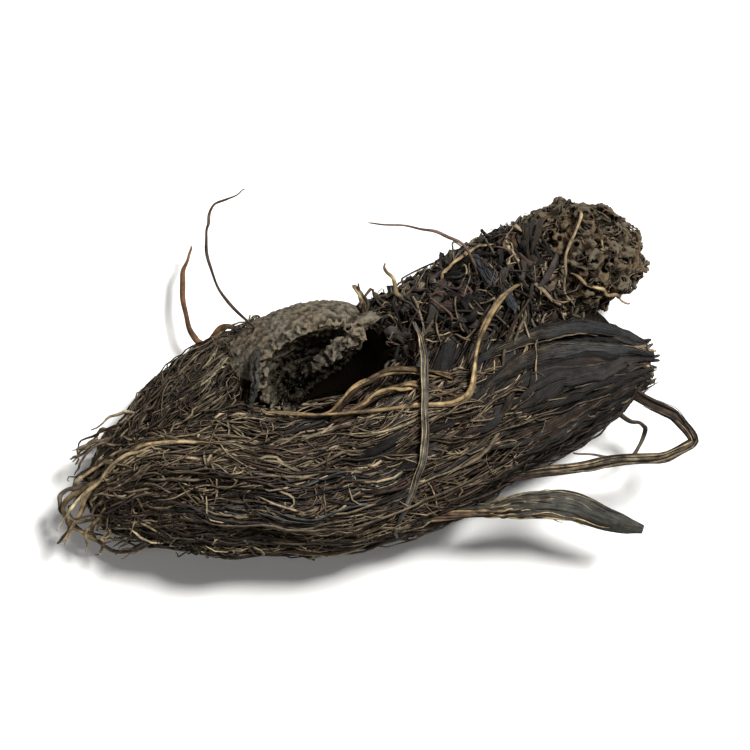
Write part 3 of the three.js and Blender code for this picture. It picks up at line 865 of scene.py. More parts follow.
body = crown_body("brown_crown", BROWN, knobs=62, knob_relief=0.12, lift=0.94, lump_depth=LUMP_DEPTH)
over = curls_on_crown("thick_curls", count=200, points=13, reach=0.6, bend=0.6, radius=(0.14, 0.27),
                      low=0.91, high=1.0)
thin = curls_on_crown("thin_curls", count=620, points=9, reach=0.3, bend=0.8, radius=(0.08, 0.16),
                      low=0.96, high=1.02)
ways = rings_on(RINGS, RING_POINTS, (0.05, 0.12))
lift = rng.uniform(0.96, 1.01, (RINGS, 1)) * lumps(ways, LUMP_SIZE, LUMP_DEPTH)
thickness = rng.uniform(0.12, 0.18, (RINGS, 1)) * np.ones((1, RING_POINTS))
rings = root_mesh("crown_rings", BROWN.at(ways, lift), thickness, None, 6)
brown_crown = melted("brown_crown", body, [over, thin, rings], voxel=0.165)
roughened(brown_crown, layers=[(0.16, 0.9), (0.12, 0.32)])
finish_piece(brown_crown, brown_bark)

# %% [markdown]
# The grey crown is an older head. Its bark is fine and grey, and its edge is set with broken pegs. On the
# side of the bundle it is open: a hollow, darkened with painted shade, with crumbs of rotted wood, some of
# them heaped along a ridge. All of these are short crooked paths, which get their thickness later.

# %% Pegs, crumbs and lumps of bark
GREY = Crown((-6.3, 5.2, 6.9), (7.6, 3.9, 5.0), 0.34)


def rim_pegs(count, points):
    """Short broken pegs that lie on the bark and end at the upper rim of the hollow."""
    turn = rng.uniform(-0.1, np.pi * 1.05, count)
    x, y = hollow_place(turn, 1.0 + rng.uniform(-0.03, 0.16, count))
    ray = unit(np.stack([x, y, np.full(count, 10.6)], 1) - GREY.middle)
    direction = unit((ray @ GREY.rotation) / GREY.radii)
    foot = GREY.at(direction, rng.uniform(0.97, 1.02, count))
    inward = unit(np.stack([HOLLOW_MIDDLE[0] - x, HOLLOW_MIDDLE[1] - y, rng.uniform(-0.6, 0.5, count)], 1))
    slant = unit(inward + rng.normal(0, 0.6, (count, 3)))
    s = np.linspace(-0.8, 0.5, points)[None, :, None] * rng.uniform(0.15, 0.6, (count, 1, 1))
    return foot[:, None] + slant[:, None] * s


def granules(count, points):
    """Small drawn-out lumps of bark, most of them along one slant."""
    here = unit(rng.normal(size=(count, 3)))
    heading = np.array([0.62, 0.74, 0.1]) + rng.normal(0, 0.35, (count, 3))
    heading = unit(heading - here * (heading * here).sum(-1, keepdims=True))
    reach = rng.uniform(0.02, 0.09, (count, 1, 1)) * np.linspace(-1, 1, points)[None, :, None]
    return unit(here[:, None] + heading[:, None] * reach)


RIDGE = [(-7.2, 2.2, 6.6), (-5.2, 2.9, 7.6), (-3.8, 4.0, 8.8), (-2.3, 5.2, 9.9), (-0.4, 6.4, 10.6)]


def ridge_paths(count, points):
    """Crumbs of rotted wood heaped along a ridge in the hollow, just inside its rim."""
    foot = smooth_row(RIDGE, rng.random(count)) + rng.normal(0, 1, (count, 3)) * [0.3, 0.24, 0.3]
    lean = rng.normal(0, 0.3, (count, 3)) + [0.2, -0.1, 0.35]
    s = np.linspace(-0.6, 1, points)[None, :, None]
    return foot[:, None] + lean[:, None] * s + wander(count, points, 3.0, [(0.25, 1.6)])


def crumb_paths(count, points):
    """Crooked crumbs of rotted wood on the floor of the hollow."""
    turn, out = rng.uniform(0.9, np.pi + 0.8, count), np.sqrt(rng.uniform(0, 0.95, count))
    foot = np.stack([*hollow_place(turn, out), hollow_floor(1 - out ** 2)], 1)
    lean = rng.normal(0, 0.3, (count, 3)) + [0.45, 0.55, 0.3]
    s = np.linspace(-0.5, 1, points)[None, :, None]
    return foot[:, None] + lean[:, None] * s + wander(count, points, 3.0, [(0.25, 1.6)])


print("the ridge in the hollow rises", round(RIDGE[-1][2] - RIDGE[0][2], 1), "mm")

# %% [markdown]
# The hollow is pressed into the body first. A lobe at the hollow's far end and a shoulder at its thin end
# round off the outline of the head. Then the pegs, the crumbs and the small lumps of the bark are melted
# on.

# %% The grey crown
LOBE = Crown((-0.2, 7.4, 7.2), (1.9, 0.9, 3.3), 0.4)
SHOULDER = Crown((-10.8, 3.6, 5.4), (3.5, 2.9, 4.6), 0.2)
BARK_LUMPS, BARK_DEPTH = 1500, 0.05
body = crown_body("grey_crown", GREY, knobs=40, knob_relief=0.03, lift=0.985, lump_depth=BARK_DEPTH)
lobe = crown_body("grey_lobe", LOBE, knobs=14, knob_relief=0.06, lift=1.0)
shoulder = crown_body("grey_shoulder", SHOULDER, knobs=20, knob_relief=0.06, lift=1.0, lump_depth=0.06)
pegs = bits("rim_pegs", rim_pegs(110, 5), (0.07, 0.15), 0.6, 0.2)
crumbs = bits("hollow_crumbs", crumb_paths(280, 8), (0.07, 0.15), 0.5, 0.4)
ridge = bits("hollow_ridge", ridge_paths(230, 7), (0.09, 0.2), 0.5, 0.4)
ways = granules(BARK_LUMPS, 5)
lift = rng.uniform(0.955, 0.975, (BARK_LUMPS, 1)) * lumps(ways, LUMP_SIZE, BARK_DEPTH)
bark_lumps = bits("bark_lumps", pressed(GREY.at(ways, lift)), (0.08, 0.17), 0.5, 0.1, 5)
grey_crown = melted("grey_crown", body, [lobe, shoulder, pegs, crumbs, ridge, bark_lumps], voxel=0.135)
# hollow_shade paints shade into the hollow
roughened(grey_crown, layers=[(0.12, 0.9), (0.1, 0.28)], hollow_shade=1.3)
finish_piece(grey_crown, grey_bark)

# %% [markdown]
# Every kind of root is handed over as one piece, so that each mesh stays light. The first kind is the thick
# inner roots. They lie just under the skin of the bundle, and their near-black colour is painted shade: they
# show as the deep shade between the outer ones.

# %% Inner roots
BUNDLE_LENGTH, RHIZOME_LENGTH = 56.0, 48.0     # about, in mm: the waves of a root are counted along it
# near-black colours: painted shade between the outer roots
INNER_SHADE_ROOTS = [("#17120d", 0.4), ("#2a221a", 0.4), ("#3f342a", 0.2)]


def add_roots(name, paths, radius, palette, sides=3, locks=None, tip=TIP_SHARE, jitter=0.12,
              tip_light=0.25):
    """Builds roots along paths, leaves the hollow free, and hands them over as one piece."""
    count, points, _ = paths.shape
    widths = taper(count, points, radius, tip, jitter)
    colours = along_root(pick_colours(palette, count, locks), points, tip_light)
    kept = clear_of_hollow(paths)
    finish_piece(root_mesh(name, paths[kept], widths[kept], colours[kept], sides), root_fibre)


def locked_roots(name, palette, radius, sides=3, sway=1.0, jitter=0.12, alike=True, limb=BUNDLE,
                 length=BUNDLE_LENGTH, **route):
    """Roots in locks along a limb. alike gives the roots of a lock like colours."""
    paths, locks = lock_paths(limb, length, **route)
    add_roots(name, swayed(paths, sway), radius, palette, sides, locks if alike else None, jitter=jitter)


locked_roots("inner_roots", INNER_SHADE_ROOTS, (0.22, 0.36), sides=4, alike=False, locks=50, per_lock=4, points=16,
             start=(-0.05, 0.75), span=(0.25, 0.45), lift=(0.84, 0.92), lock_size=(0.6, 1.0),
             slope=(0.6, 1.6), waves=[(0.1, 9.0), (0.08, 3.0)])

# %% [markdown]
# Then come the roots that make the bundle what it is: long, 0.1 to 0.5 mm thick, in locks that wind slowly
# round it. Leaf bases cover the third next to its torn end, so on top the roots start further along.
# Coarser roots, golden ones and a few slate-grey locks lie between them, and lattices of short pale ones
# cross them. The golden and pale ones on top are partly their own colour and partly painted highlight.

# %% Bundle roots
BROWN_ROOTS = [("#1c1611", 0.24), ("#31281f", 0.3), ("#4b4035", 0.22), ("#655948", 0.14), ("#83745b", 0.05),
               ("#412f28", 0.05), ("#2c2c2b", 0.07)]
SLATE_ROOTS = [("#201f1e", 0.4), ("#313130", 0.35), ("#484846", 0.15), ("#2e2822", 0.1)]
PALE_TIPS = [("#382e22", 0.25), ("#544737", 0.3), ("#6e614d", 0.25), ("#857760", 0.15), ("#9a8c75", 0.05)]
TOP, UNDER = (-0.25, np.pi + 0.25), (np.pi + 0.25, 2 * np.pi - 0.25)    # angles round the bundle
locked_roots("upper_roots", BROWN_ROOTS, (0.06, 0.15), sway=0.75, locks=104, per_lock=9, points=26,
             start=(0.2, 0.8), span=(0.2, 0.46), lift=(0.9, 1.05), lock_size=(0.3, 0.9), slope=(0.0, 1.6),
             waves=[(0.1, 8.0), (0.07, 3.4), (0.03, 1.7)], angles=TOP)
locked_roots("coarse_roots", BROWN_ROOTS, (0.12, 0.2), sides=4, jitter=0.2, locks=26, per_lock=3, points=26,
             start=(0.18, 0.6), span=(0.2, 0.4), lift=(0.97, 1.04), lock_size=(0.3, 1.2), slope=(-0.3, 1.7),
             waves=[(0.1, 6.0), (0.1, 2.6)], angles=TOP)
# pale roots on top: partly their own colour, partly painted highlight
locked_roots("golden_roots", PALE_TIPS[1:], (0.05, 0.11), sway=0.8, locks=44, per_lock=4, points=22,
             start=(0.28, 0.8), span=(0.1, 0.24), lift=(1.0, 1.06), lock_size=(0.2, 0.8), slope=(-1.6, 2.2),
             waves=[(0.12, 6.0), (0.08, 2.6)], angles=(0.5, 2.6))
# pale roots on top: partly their own colour, partly painted highlight
locked_roots("lattice_roots", PALE_TIPS[:4], (0.06, 0.13), sway=0.8, locks=14, per_lock=6, points=16,
             start=(0.24, 0.36), span=(0.1, 0.2), lift=(1.03, 1.09), lock_size=(0.3, 0.9), slope=(0.8, 2.6),
             waves=[(0.12, 6.0), (0.08, 2.6)], angles=(1.3, 2.9))
locked_roots("slate_roots", SLATE_ROOTS, (0.07, 0.15), sway=0.8, locks=9, per_lock=8, points=22,
             start=(0.46, 0.62), span=(0.16, 0.28), lift=(1.01, 1.06), lock_size=(0.25, 0.6),
             slope=(-0.4, 0.5), waves=[(0.08, 6.0), (0.06, 2.6)], angles=(0.9, 1.7))
locked_roots("roots_on_strips", BROWN_ROOTS, (0.06, 0.15), sway=0.8, locks=26, per_lock=4, points=26,
             start=(-0.06, 0.1), span=(0.26, 0.5), lift=(1.0, 1.08), lock_size=(0.2, 0.8), slope=(0.2, 1.3),
             waves=[(0.08, 6.0), (0.08, 2.8)], angles=TOP)
locked_roots("lower_roots", BROWN_ROOTS, (0.1, 0.24), sway=0.7, locks=56, per_lock=6, points=20,
             start=(-0.08, 0.8), span=(0.22, 0.5), lift=(0.9, 0.99), lock_size=(0.35, 0.95), slope=(0.3, 1.2),
             waves=[(0.08, 8.0), (0.06, 3.2)], angles=UNDER)

# %% [markdown]
# The rhizome between the crowns is hidden under short crinkled rootlets and torn scales. They grew out of
# it on all sides and dried where they were, so they have no common direction: each one wanders over the
# skin and lifts off it.

# %% Rootlets that wander over a limb
CRINKLED = [("#1a1611", 0.3), ("#2f2a24", 0.3), ("#4a4238", 0.2), ("#4d3a35", 0.08), ("#7f6f58", 0.06),
            ("#3a2b2b", 0.06)]
CROWN_FIBRES = [("#1d1812", 0.3), ("#3b3228", 0.28), ("#4f4538", 0.2), ("#6a5d4a", 0.12), ("#49362b", 0.08)]


def wandering_paths(stations, count, points, start, angles, reach, turn, lift, length, waves):
    """reach and turn: how far a rootlet goes along the limb and round it. length: its mm, for the waves."""
    s = np.linspace(0, 1, points)[None]
    t = rng.uniform(*start, (count, 1)) + rng.uniform(-1, 1, (count, 1)) * reach * s
    t += 0.25 * reach * smooth_noise(count, points, (0.8,))
    angle = rng.uniform(*angles, (count, 1)) + rng.uniform(-1, 1, (count, 1)) * turn * s
    angle += 0.3 * turn * smooth_noise(count, points, (0.9,))
    low, high = lift
    up = low + (high - low) * (0.5 + 0.5 * smooth_noise(count, points, (0.8, 1.7)))
    up[:, 0] = np.minimum(up[:, 0], 0.94)
    return skin(stations, np.clip(t, 0.0, 1.0), angle, up) + wander(count, points, length, waves)


def wandering_roots(name, palette, radius, sides=3, sway=0.0, jitter=0.12, **route):
    add_roots(name, swayed(wandering_paths(**route), sway), radius, palette, sides, jitter=jitter)


wandering_roots("crinkled_rootlets", CRINKLED, (0.09, 0.24), jitter=0.2, stations=RHIZOME, count=520,
                points=16, start=(0.04, 0.62), angles=(0, 2 * np.pi), reach=0.12, turn=1.3, lift=(0.92, 1.12),
                length=7.0, waves=[(0.35, 3.6), (0.16, 1.7)])
wandering_roots("curly_rootlets", CROWN_FIBRES[1:] + PALE_TIPS[1:4], (0.07, 0.14), sides=4, jitter=0.2,
                stations=RHIZOME, count=80, points=24, start=(0.0, 0.6), angles=(-0.2, 3.3), reach=0.12,
                turn=0.9, lift=(0.98, 1.2), length=7.0, waves=[(0.5, 4.0), (0.3, 2.2)])

# %% [markdown]
# The same kind of rootlet curls over the brown crown. At the other end the rhizome thins to a neck, and its
# roots run on in locks beside the bundle. Where they come out from under the grey crown, the roots on top
# of the bundle are matted, so those wander over it in no order.

# %% Rootlets on the crown, roots of the neck, and the mat
CROWN_ROOTLETS, ROOTLET_POINTS = 520, 13
ways = curls(CROWN_ROOTLETS, ROOTLET_POINTS, reach=0.42, bend=0.4)
lift = 1.01 + 0.03 * smooth_noise(CROWN_ROOTLETS, ROOTLET_POINTS, (1.0, 2.0))
lift = lift * lumps(ways, LUMP_SIZE, LUMP_DEPTH)
add_roots("crown_rootlets", BROWN.at(ways, lift), (0.05, 0.13), CROWN_FIBRES, jitter=0.2)
locked_roots("neck_roots", BROWN_ROOTS, (0.07, 0.16), limb=RHIZOME, length=RHIZOME_LENGTH, locks=46,
             per_lock=8, points=22, start=(0.5, 0.8), span=(0.2, 0.4), lift=(0.93, 1.06),
             lock_size=(0.4, 0.9), slope=(-1.5, 0.8), waves=[(0.1, 6.0), (0.12, 2.5), (0.05, 1.2)])
wandering_roots("matted_roots", BROWN_ROOTS[1:6] + PALE_TIPS[1:4], (0.06, 0.14), sway=1.0, stations=BUNDLE,
                count=460, points=20, start=(0.4, 0.95), angles=(-0.3, np.pi + 0.3), reach=0.22, turn=0.8,
                lift=(1.0, 1.07), length=10.0, waves=[(0.3, 5.0), (0.18, 2.4)])

# %% [markdown]
# Some roots leave the rhizome, cross the valley beside it, and join the bundle. Each route has six points:
# two on the rhizome, one in the air, and three along the bundle, and a smooth curve runs through them.

# %% Roots that join the bundle


def through(controls, points):
    """Smooth paths through control points: paths x controls x 3 gives paths x points x 3."""
    at = np.linspace(0, 1, points)
    return np.stack([smooth_row(path, at) for path in controls])


def joining_paths(count, points):
    """From the rhizome, over the valley, and on along the bundle."""
    t_rhizome = 0.04 + 0.48 * rng.random(count) ** 0.6
    angle = rng.uniform(0.2, 1.7, count)
    on_rhizome = [skin(RHIZOME, t_rhizome, angle, np.full(count, 0.9)),
                  skin(RHIZOME, t_rhizome + 0.05, angle - 0.2, rng.uniform(1.0, 1.08, count))]
    x = on_rhizome[1][:, 0]
    t_bundle = np.clip((24.5 - x) / 50, 0.02, 0.8)
    high = rng.uniform(1.3, 2.8, count)
    forward = rng.uniform(0.07, 0.16, count)
    on_bundle = [skin(BUNDLE, t_bundle + forward * step, high - 0.12 * step, lift)
                 for step, lift in ((1, rng.uniform(1.02, 1.08, count)), (2, rng.uniform(1.0, 1.05, count)),
                                    (3, np.full(count, 0.93)))]
    air = (on_rhizome[1] + on_bundle[0]) / 2 - np.stack(
        [np.zeros(count), np.zeros(count), rng.uniform(-0.4, 1.2, count)], 1)
    controls = np.stack([on_rhizome[0], on_rhizome[1], air, *on_bundle], 1)
    return through(controls, points) + wander(count, points, 22.0, [(0.16, 7.0), (0.14, 3.2)])


add_roots("joining_roots", swayed(joining_paths(240, 32), 1.3), (0.07, 0.17), BROWN_ROOTS)

# %% [markdown]
# From the thin side of the grey crown, roots hang down like a skirt and run on along the neck. They hide
# the seam between the head and the roots behind it, which a bare ellipsoid would show.

# %% Skirt of the grey crown
SKIRT_FIBRES = [("#2a241c", 0.3), ("#40382d", 0.3), ("#5a5142", 0.25), ("#736853", 0.15)]


def skirt_paths(count, points):
    """From the thin side of the grey crown, down over its edge and along the rhizome."""
    azimuth = rng.uniform(1.9, 4.5, count)
    on_crown = []
    for low, high, lift in ((0.0, 0.45, 1.0), (-0.3, 0.0, 1.03)):
        rise = rng.uniform(low, high, count)
        ways = np.stack([np.cos(azimuth) * np.cos(rise), np.sin(azimuth) * np.cos(rise), np.sin(rise)], 1)
        on_crown.append(GREY.at(ways, np.full(count, lift)))
    angle = np.pi / 2 + 0.85 * (np.pi - azimuth) + rng.normal(0, 0.15, count)
    t = rng.uniform(0.74, 0.8, count)
    on_limb = [skin(RHIZOME, t, angle, rng.uniform(1.0, 1.1, count)),
               skin(RHIZOME, t + rng.uniform(0.08, 0.2, count), angle, rng.uniform(0.95, 1.04, count))]
    return through(np.stack([*on_crown, *on_limb], 1), points) + wander(
        count, points, 14.0, [(0.2, 5.0), (0.12, 2.4)])


add_roots("skirt_roots", skirt_paths(90, 18), (0.05, 0.13), SKIRT_FIBRES, jitter=0.2)

# %% [markdown]
# The thin end of the bundle is frayed. Its tips spread like a fan, sink towards the floor, and are paler
# than the rest, because the dark skin has rubbed off them. The other end is torn off short.

# %% Frayed tips


def tip_paths(count, points):
    """From inside the bundle, over its end, and on in a fan that sinks towards the floor."""
    around = rng.uniform(0, 2 * np.pi, count)
    start = rng.uniform(0.5, 0.8, count)
    inner = skin(BUNDLE, start, around, np.full(count, 0.9))
    outer = skin(BUNDLE, start + 0.12, around, rng.uniform(0.94, 1.04, count))
    middle, _, _, _ = limb_axes(BUNDLE, np.full(count, 0.9))
    fan = rng.normal(-0.35, 0.5, count)
    reach = rng.uniform(2.4, 6.6, count) * (0.7 + 0.3 * np.cos(fan))
    out = np.stack([-reach * np.cos(fan), reach * np.sin(fan), np.zeros(count)], 1)
    end = 0.4 * (outer - middle) + middle + out
    end[:, 2] = np.clip(end[:, 2] - rng.uniform(0.0, 3.0, count), 0.4, 6.5)
    knee = outer * 0.4 + end * 0.6
    knee += np.stack([rng.uniform(*span, count) for span in ((-1.0, 0.2), (0.2, 1.2), (0.0, 1.2))], 1)
    return through(np.stack([inner, outer, knee, end], 1), points) + wander(
        count, points, 17.0, [(0.3, 9.0), (0.1, 3.6)])


def torn_paths(count, points):
    """Out of the other end of the bundle, and broken off a millimetre or two past it."""
    around = rng.uniform(0, 2 * np.pi, count)
    inner = skin(BUNDLE, rng.uniform(0.05, 0.16, count), around, rng.uniform(0.9, 1.02, count))
    pinch = skin(BUNDLE, np.full(count, 0.015), around, rng.uniform(0.5, 1.05, count))
    away = [rng.uniform(0.6, 2.2, count), rng.normal(0, 0.25, count), rng.normal(-0.1, 0.25, count)]
    end = pinch + np.stack(away, 1) * rng.uniform(0.3, 1.0, (count, 1))
    return through(np.stack([inner, pinch, end], 1), points) + wander(count, points, 8.0, [(0.12, 6.0)])


add_roots("frayed_tips", tip_paths(260, 20), (0.07, 0.17), PALE_TIPS, sides=4, tip=0.4, tip_light=0.5)
add_roots("torn_end", torn_paths(80, 10), (0.1, 0.24), BROWN_ROOTS, sides=4, tip=0.5)

# %% [markdown]
# Leaf bases wrap the top of a real rootstock. Dried, they are flat ribbed strips, dark and faintly grey
# where they shine. Each is a thin cupped ribbon with ribs along it, and its edges are nibbled by two waves
# in its width. A ribbon is built like a root, from a path and a section, but its section is flat.

# %% Ribbons


def ribbon_section(thickness, cup, ribs, rib_depth, samples=9):
    """A flat closed section, as its places across and above, in half widths. samples: points on one face."""
    x = np.cos(np.linspace(0, np.pi, samples))
    rib = rib_depth * np.cos(np.pi * ribs * x) + cup * (1 - x ** 2)
    edge = thickness * np.sqrt(np.maximum(1 - x ** 2, 0))
    return (np.concatenate([x, x[-2:0:-1]]), np.concatenate([rib + edge, (rib - edge)[-2:0:-1]]))


def ribbon_mesh(name, paths, upward, half_widths, colours, section, nibbled=0.18):
    """Ribbons along paths, handed over as one piece. upward: the way their upper face looks."""
    count, points, _ = paths.shape
    ragged = 1 + nibbled * smooth_noise(count, points, (5, 11))
    sides = len(section[0])
    piece = root_mesh(name, paths, half_widths * ragged, along_root(colours, points, 0.1), sides, upward,
                      section=section)
    finish_piece(piece, leaf_fibre)


flat, _ = ribbon_section(0.1, 0.2, 4, 0.05)
print("a ribbon has", len(flat), "points round its section")

# %% [markdown]
# The leaf bases meet at the torn end of the bundle and fan out over it. The golden share of a turn spreads
# them evenly. Broad ones and many narrow ones lie on top, and plainer ones lie below.

# %% Leaf bases
LEAF_COLOURS = [("#100e0c", 0.27), ("#1a1815", 0.3), ("#24211e", 0.2), ("#2d2b28", 0.11), ("#2f251d", 0.12)]
RIBBON_POINTS = 20


def fanned_ribbons(name, count, angles, spans, half_widths, lifts, section, swirl=(-0.25, 0.45)):
    """Strips that start at the torn end and fan out over the bundle. swirl: how far they wind round it."""
    points = RIBBON_POINTS
    s = np.linspace(0, 1, points)[None]
    around = angles[0] + ((np.arange(count) + 0.5) * GOLDEN_SHARE % 1)[:, None] * (angles[1] - angles[0])
    t = rng.uniform(0.0, 0.06, (count, 1)) + rng.uniform(*spans, (count, 1)) * s
    angle = around + rng.uniform(*swirl, (count, 1)) * s + 0.05 * smooth_noise(count, points, (1.5,))
    ends = 0.1 * (1 - np.clip(s / 0.1, 0, 1)) + 0.12 * np.clip((s - 0.85) / 0.15, 0, 1)
    paths = skin(BUNDLE, t, angle, rng.uniform(*lifts, (count, 1)) - ends)
    middle, _, _, _ = limb_axes(BUNDLE, t)
    upward = unit(paths - middle + wander(count, points, 16.0, [(1.2, 12.0)]))
    paths = swayed(paths, 0.7) + wander(count, points, 16.0, [(0.08, 9.0), (0.05, 3.0)])
    paths[..., 0] += rng.uniform(-0.6, 1.3, (count, 1)) * np.clip(1 - s / 0.15, 0, 1)
    paths[..., 2] += rng.normal(0, 0.35, (count, 1)) * np.clip(1 - s / 0.12, 0, 1)
    ends = np.clip(np.minimum(0.2 + s / 0.15, (1.02 - s) / 0.3), 0.15, 1)
    width = rng.uniform(*half_widths, (count, 1)) * ends
    ribbon_mesh(name, paths, upward, width, pick_colours(LEAF_COLOURS, count), section)


fanned_ribbons("broad_leaf_bases", 13, angles=(0.0, np.pi), spans=(0.24, 0.35), half_widths=(0.5, 0.85),
               lifts=(1.0, 1.08), section=ribbon_section(thickness=0.1, cup=0.16, ribs=3, rib_depth=0.07))
fanned_ribbons("leaf_bases_above", 56, angles=(-0.1, np.pi + 0.1), spans=(0.18, 0.36),
               half_widths=(0.18, 0.42), lifts=(0.98, 1.09),
               section=ribbon_section(0.2, 0.25, 2, 0.08, samples=7))
fanned_ribbons("leaf_bases_below", 26, angles=(np.pi, 2 * np.pi), spans=(0.16, 0.36), half_widths=(0.35, 0.7),
               lifts=(0.98, 1.03), section=ribbon_section(0.14, 0.2, 1, 0.06, samples=5))

# %% [markdown]
# The rhizome carries torn scales of old leaves, short and crumpled. They are the same ribbons, twisted.

# %% Scales on the rhizome
SCALE_COLOURS = [("#171411", 0.3), ("#2b2722", 0.3), ("#3c3029", 0.15), ("#3a3330", 0.15), ("#544a3c", 0.1)]


def scales(name, count, points):
    paths = wandering_paths(RHIZOME, count, points, start=(0.02, 0.56), angles=(-0.3, 3.3), reach=0.1,
                            turn=0.8, lift=(0.95, 1.14), length=6.0, waves=[(0.3, 4.0), (0.1, 1.8)])
    kept = clear_of_hollow(paths)
    lean = np.array([0.0, -0.2, 1.0]) * np.ones((count, points, 1))
    upward = unit(lean + wander(count, points, 6.0, [(0.7, 6.0)]))
    width = taper(count, points, (0.16, 0.44), 0.3, 0.2)
    colours = pick_colours(SCALE_COLOURS, count)
    section = ribbon_section(0.14, 0.3, 2, 0.08, samples=6)
    ribbon_mesh(name, paths[kept], upward[kept], width[kept], colours[kept], section)


scales("rhizome_scales", 140, 12)

# %% [markdown]
# Old leaf sheaths start at the neck of the brown crown and lie down its side. They are as dark as the
# scales, but browner, and they stand off the crown a little in the middle of their way.

# %% Old leaf sheaths on the brown crown
SHEATH_COLOURS = [("#271d15", 0.3), ("#1a1918", 0.3), ("#3c2f22", 0.25), ("#352d23", 0.15)]


def sheaths_on_crown(count, points):
    """Strips that start at the neck of the brown crown and lie down its side towards the bundle."""
    begin = unit(np.array([-0.8, 0.35, 0.45]) + rng.normal(0, 0.22, (count, 3)))
    end = unit(np.array([-0.15, -0.75, 0.7]) + rng.normal(0, 0.25, (count, 3)))
    s = np.linspace(0, 1, points)[None, :, None] * rng.uniform(0.55, 1.0, (count, 1, 1))
    ways = unit(begin[:, None] * (1 - s) + end[:, None] * s)
    lift = 0.98 + 0.05 * smooth_noise(count, points, (0.8,)) + 0.06 * np.sin(np.linspace(0, np.pi, points))
    return BROWN.at(ways, lift) + wander(count, points, 7.0, [(0.12, 3.0)])


SHEATHS, SHEATH_POINTS = 16, 16
paths = sheaths_on_crown(SHEATHS, SHEATH_POINTS)
upward = unit(paths - BROWN.middle + wander(SHEATHS, SHEATH_POINTS, 7.0, [(1.5, 7.0)]))
ribbon_mesh("crown_sheaths", paths, upward, taper(SHEATHS, SHEATH_POINTS, (0.14, 0.36), 0.35, 0.2),
            pick_colours(SHEATH_COLOURS, SHEATHS), ribbon_section(0.14, 0.3, 2, 0.08, samples=7))

# %% [markdown]
# A few strips stand apart, so each is placed along a route of its own. Its half widths are listed
# at even steps along the route. Loose fibres lie along each strip and part from it towards its end.

# %% A strip with loose fibres
STRIP_FIBRES = [("#1d1813", 0.3), ("#4a4135", 0.3), ("#6e6350", 0.25), ("#8f7d5f", 0.15)]


def placed_ribbon(name, route, half_widths, hex_colour, section, twist=0.3, fibres=10, sway=0.12, points=44,
                  palette=None):
    """A ribbon on its route, with loose fibres along it. hex_colour is the ribbon's, palette the fibres'."""
    at = np.linspace(0, 1, points)
    path = smooth_row(route, at)[None] + wander(1, points, 25.0, [(sway, 6.0), (0.03, 2.0)])
    width = np.interp(at, np.linspace(0, 1, len(half_widths)), half_widths)[None]
    tilt = np.stack([twist * np.sin(5 * at + 1), 1.3 * twist * np.sin(4 * at), np.ones(points)], 1)
    tilt = unit(tilt[None])
    ribbon_mesh(name, path, tilt, width, np.array([linear(hex_colour)]), section, 0.04)
    side, top = ring_axes(path, tilt)
    across = np.linspace(-1.05, 1.05, fibres)[:, None] + 0.15 * smooth_noise(fibres, points, (1.0, 3.0))
    above = 0.06 + width * 0.25 * (1 - across ** 2)
    lies = path + side * (width * across)[..., None] + top * above[..., None]
    reach = rng.uniform(0.3, 0.75, (fibres, 1)) * at + rng.uniform(0.0, 0.25, (fibres, 1))
    row = np.arange(fibres)[:, None]
    place = reach * (points - 1)
    near = np.minimum(place.astype(int), points - 2)
    part = (place - near)[..., None]
    lies = lies[row, near] * (1 - part) + lies[row, near + 1] * part
    add_roots(name + "_fibres", lies + wander(fibres, points, 15.0, [(0.05, 4.0)]), (0.05, 0.1),
              palette or STRIP_FIBRES, sides=4)


print("fibres without a palette of their own take", len(STRIP_FIBRES), "colours")

# %% [markdown]
# The torn sheath below the bundle, the broken leaf base that turns back on itself, and the thin strip that
# crosses the bundle follow routes of the solid. The others are broad leaf bases, a scale and a strip on the
# grey crown, which catch the eye from above.

# %% Seven placed strips
DARK_FIBRES = [("#1b1611", 0.4), ("#312a21", 0.35), ("#4d4334", 0.25)]
SHEATH_ROUTE = [(8.0, -10.0, 7.6), (11.0, -9.7, 7.8), (14.0, -9.3, 7.8), (18.0, -9.1, 7.6),
                (22.0, -10.4, 7.2), (25.6, -11.5, 6.8)]
placed_ribbon("torn_sheath", SHEATH_ROUTE, [0.3, 0.55, 1.1, 1.4, 1.15, 0.4], "#34332d",
              ribbon_section(0.07, 0.25, 4, 0.03), twist=0.2, fibres=22, sway=0.05)
LOOP_ROUTE = [(9.0, -6.8, 6.8), (15.0, -6.4, 7.8), (21.0, -5.4, 8.6), (27.0, -4.7, 8.8), (29.8, -3.4, 8.6),
              (28.4, -1.2, 8.4), (25.2, 0.6, 7.6), (22.6, 1.6, 6.8)]
placed_ribbon("looped_leaf_base", LOOP_ROUTE, [0.4, 0.55, 0.6, 0.55, 0.4, 0.5, 0.6, 0.4], "#3a2f27",
              ribbon_section(0.1, 0.12, 3, 0.05), twist=0.9, fibres=12, sway=0.08)
CROSSING_ROUTE = [(4.2, 8.4, 9.0), (5.4, 4.0, 12.8), (5.2, -5.0, 13.2), (3.2, -10.4, 11.0), (3.0, -12.0, 8.6)]
placed_ribbon("crossing_strip", CROSSING_ROUTE, [0.15, 0.24, 0.26, 0.2, 0.1], "#54524e",
              ribbon_section(0.2, 0.08, 1, 0.03), twist=0.25, fibres=3, sway=0.06)
BROAD_ROUTE = [(9.6, 0.2, 12.2), (12.4, 2.6, 11.6), (15.2, 4.3, 10.9), (18.6, 4.9, 10.4), (22.4, 4.8, 9.5),
               (26.4, 4.4, 7.9)]
placed_ribbon("broad_grey_strip", BROAD_ROUTE, [0.2, 0.5, 0.75, 0.8, 0.75, 0.4], "#282828",
              ribbon_section(0.1, 0.2, 4, 0.05), twist=0.15, fibres=8, sway=0.05, palette=DARK_FIBRES)
UPPER_ROUTE = [(9.6, 3.6, 11.0), (12.6, 5.2, 11.0), (16.6, 6.6, 10.2), (20.8, 7.0, 9.2), (25.0, 5.8, 8.0)]
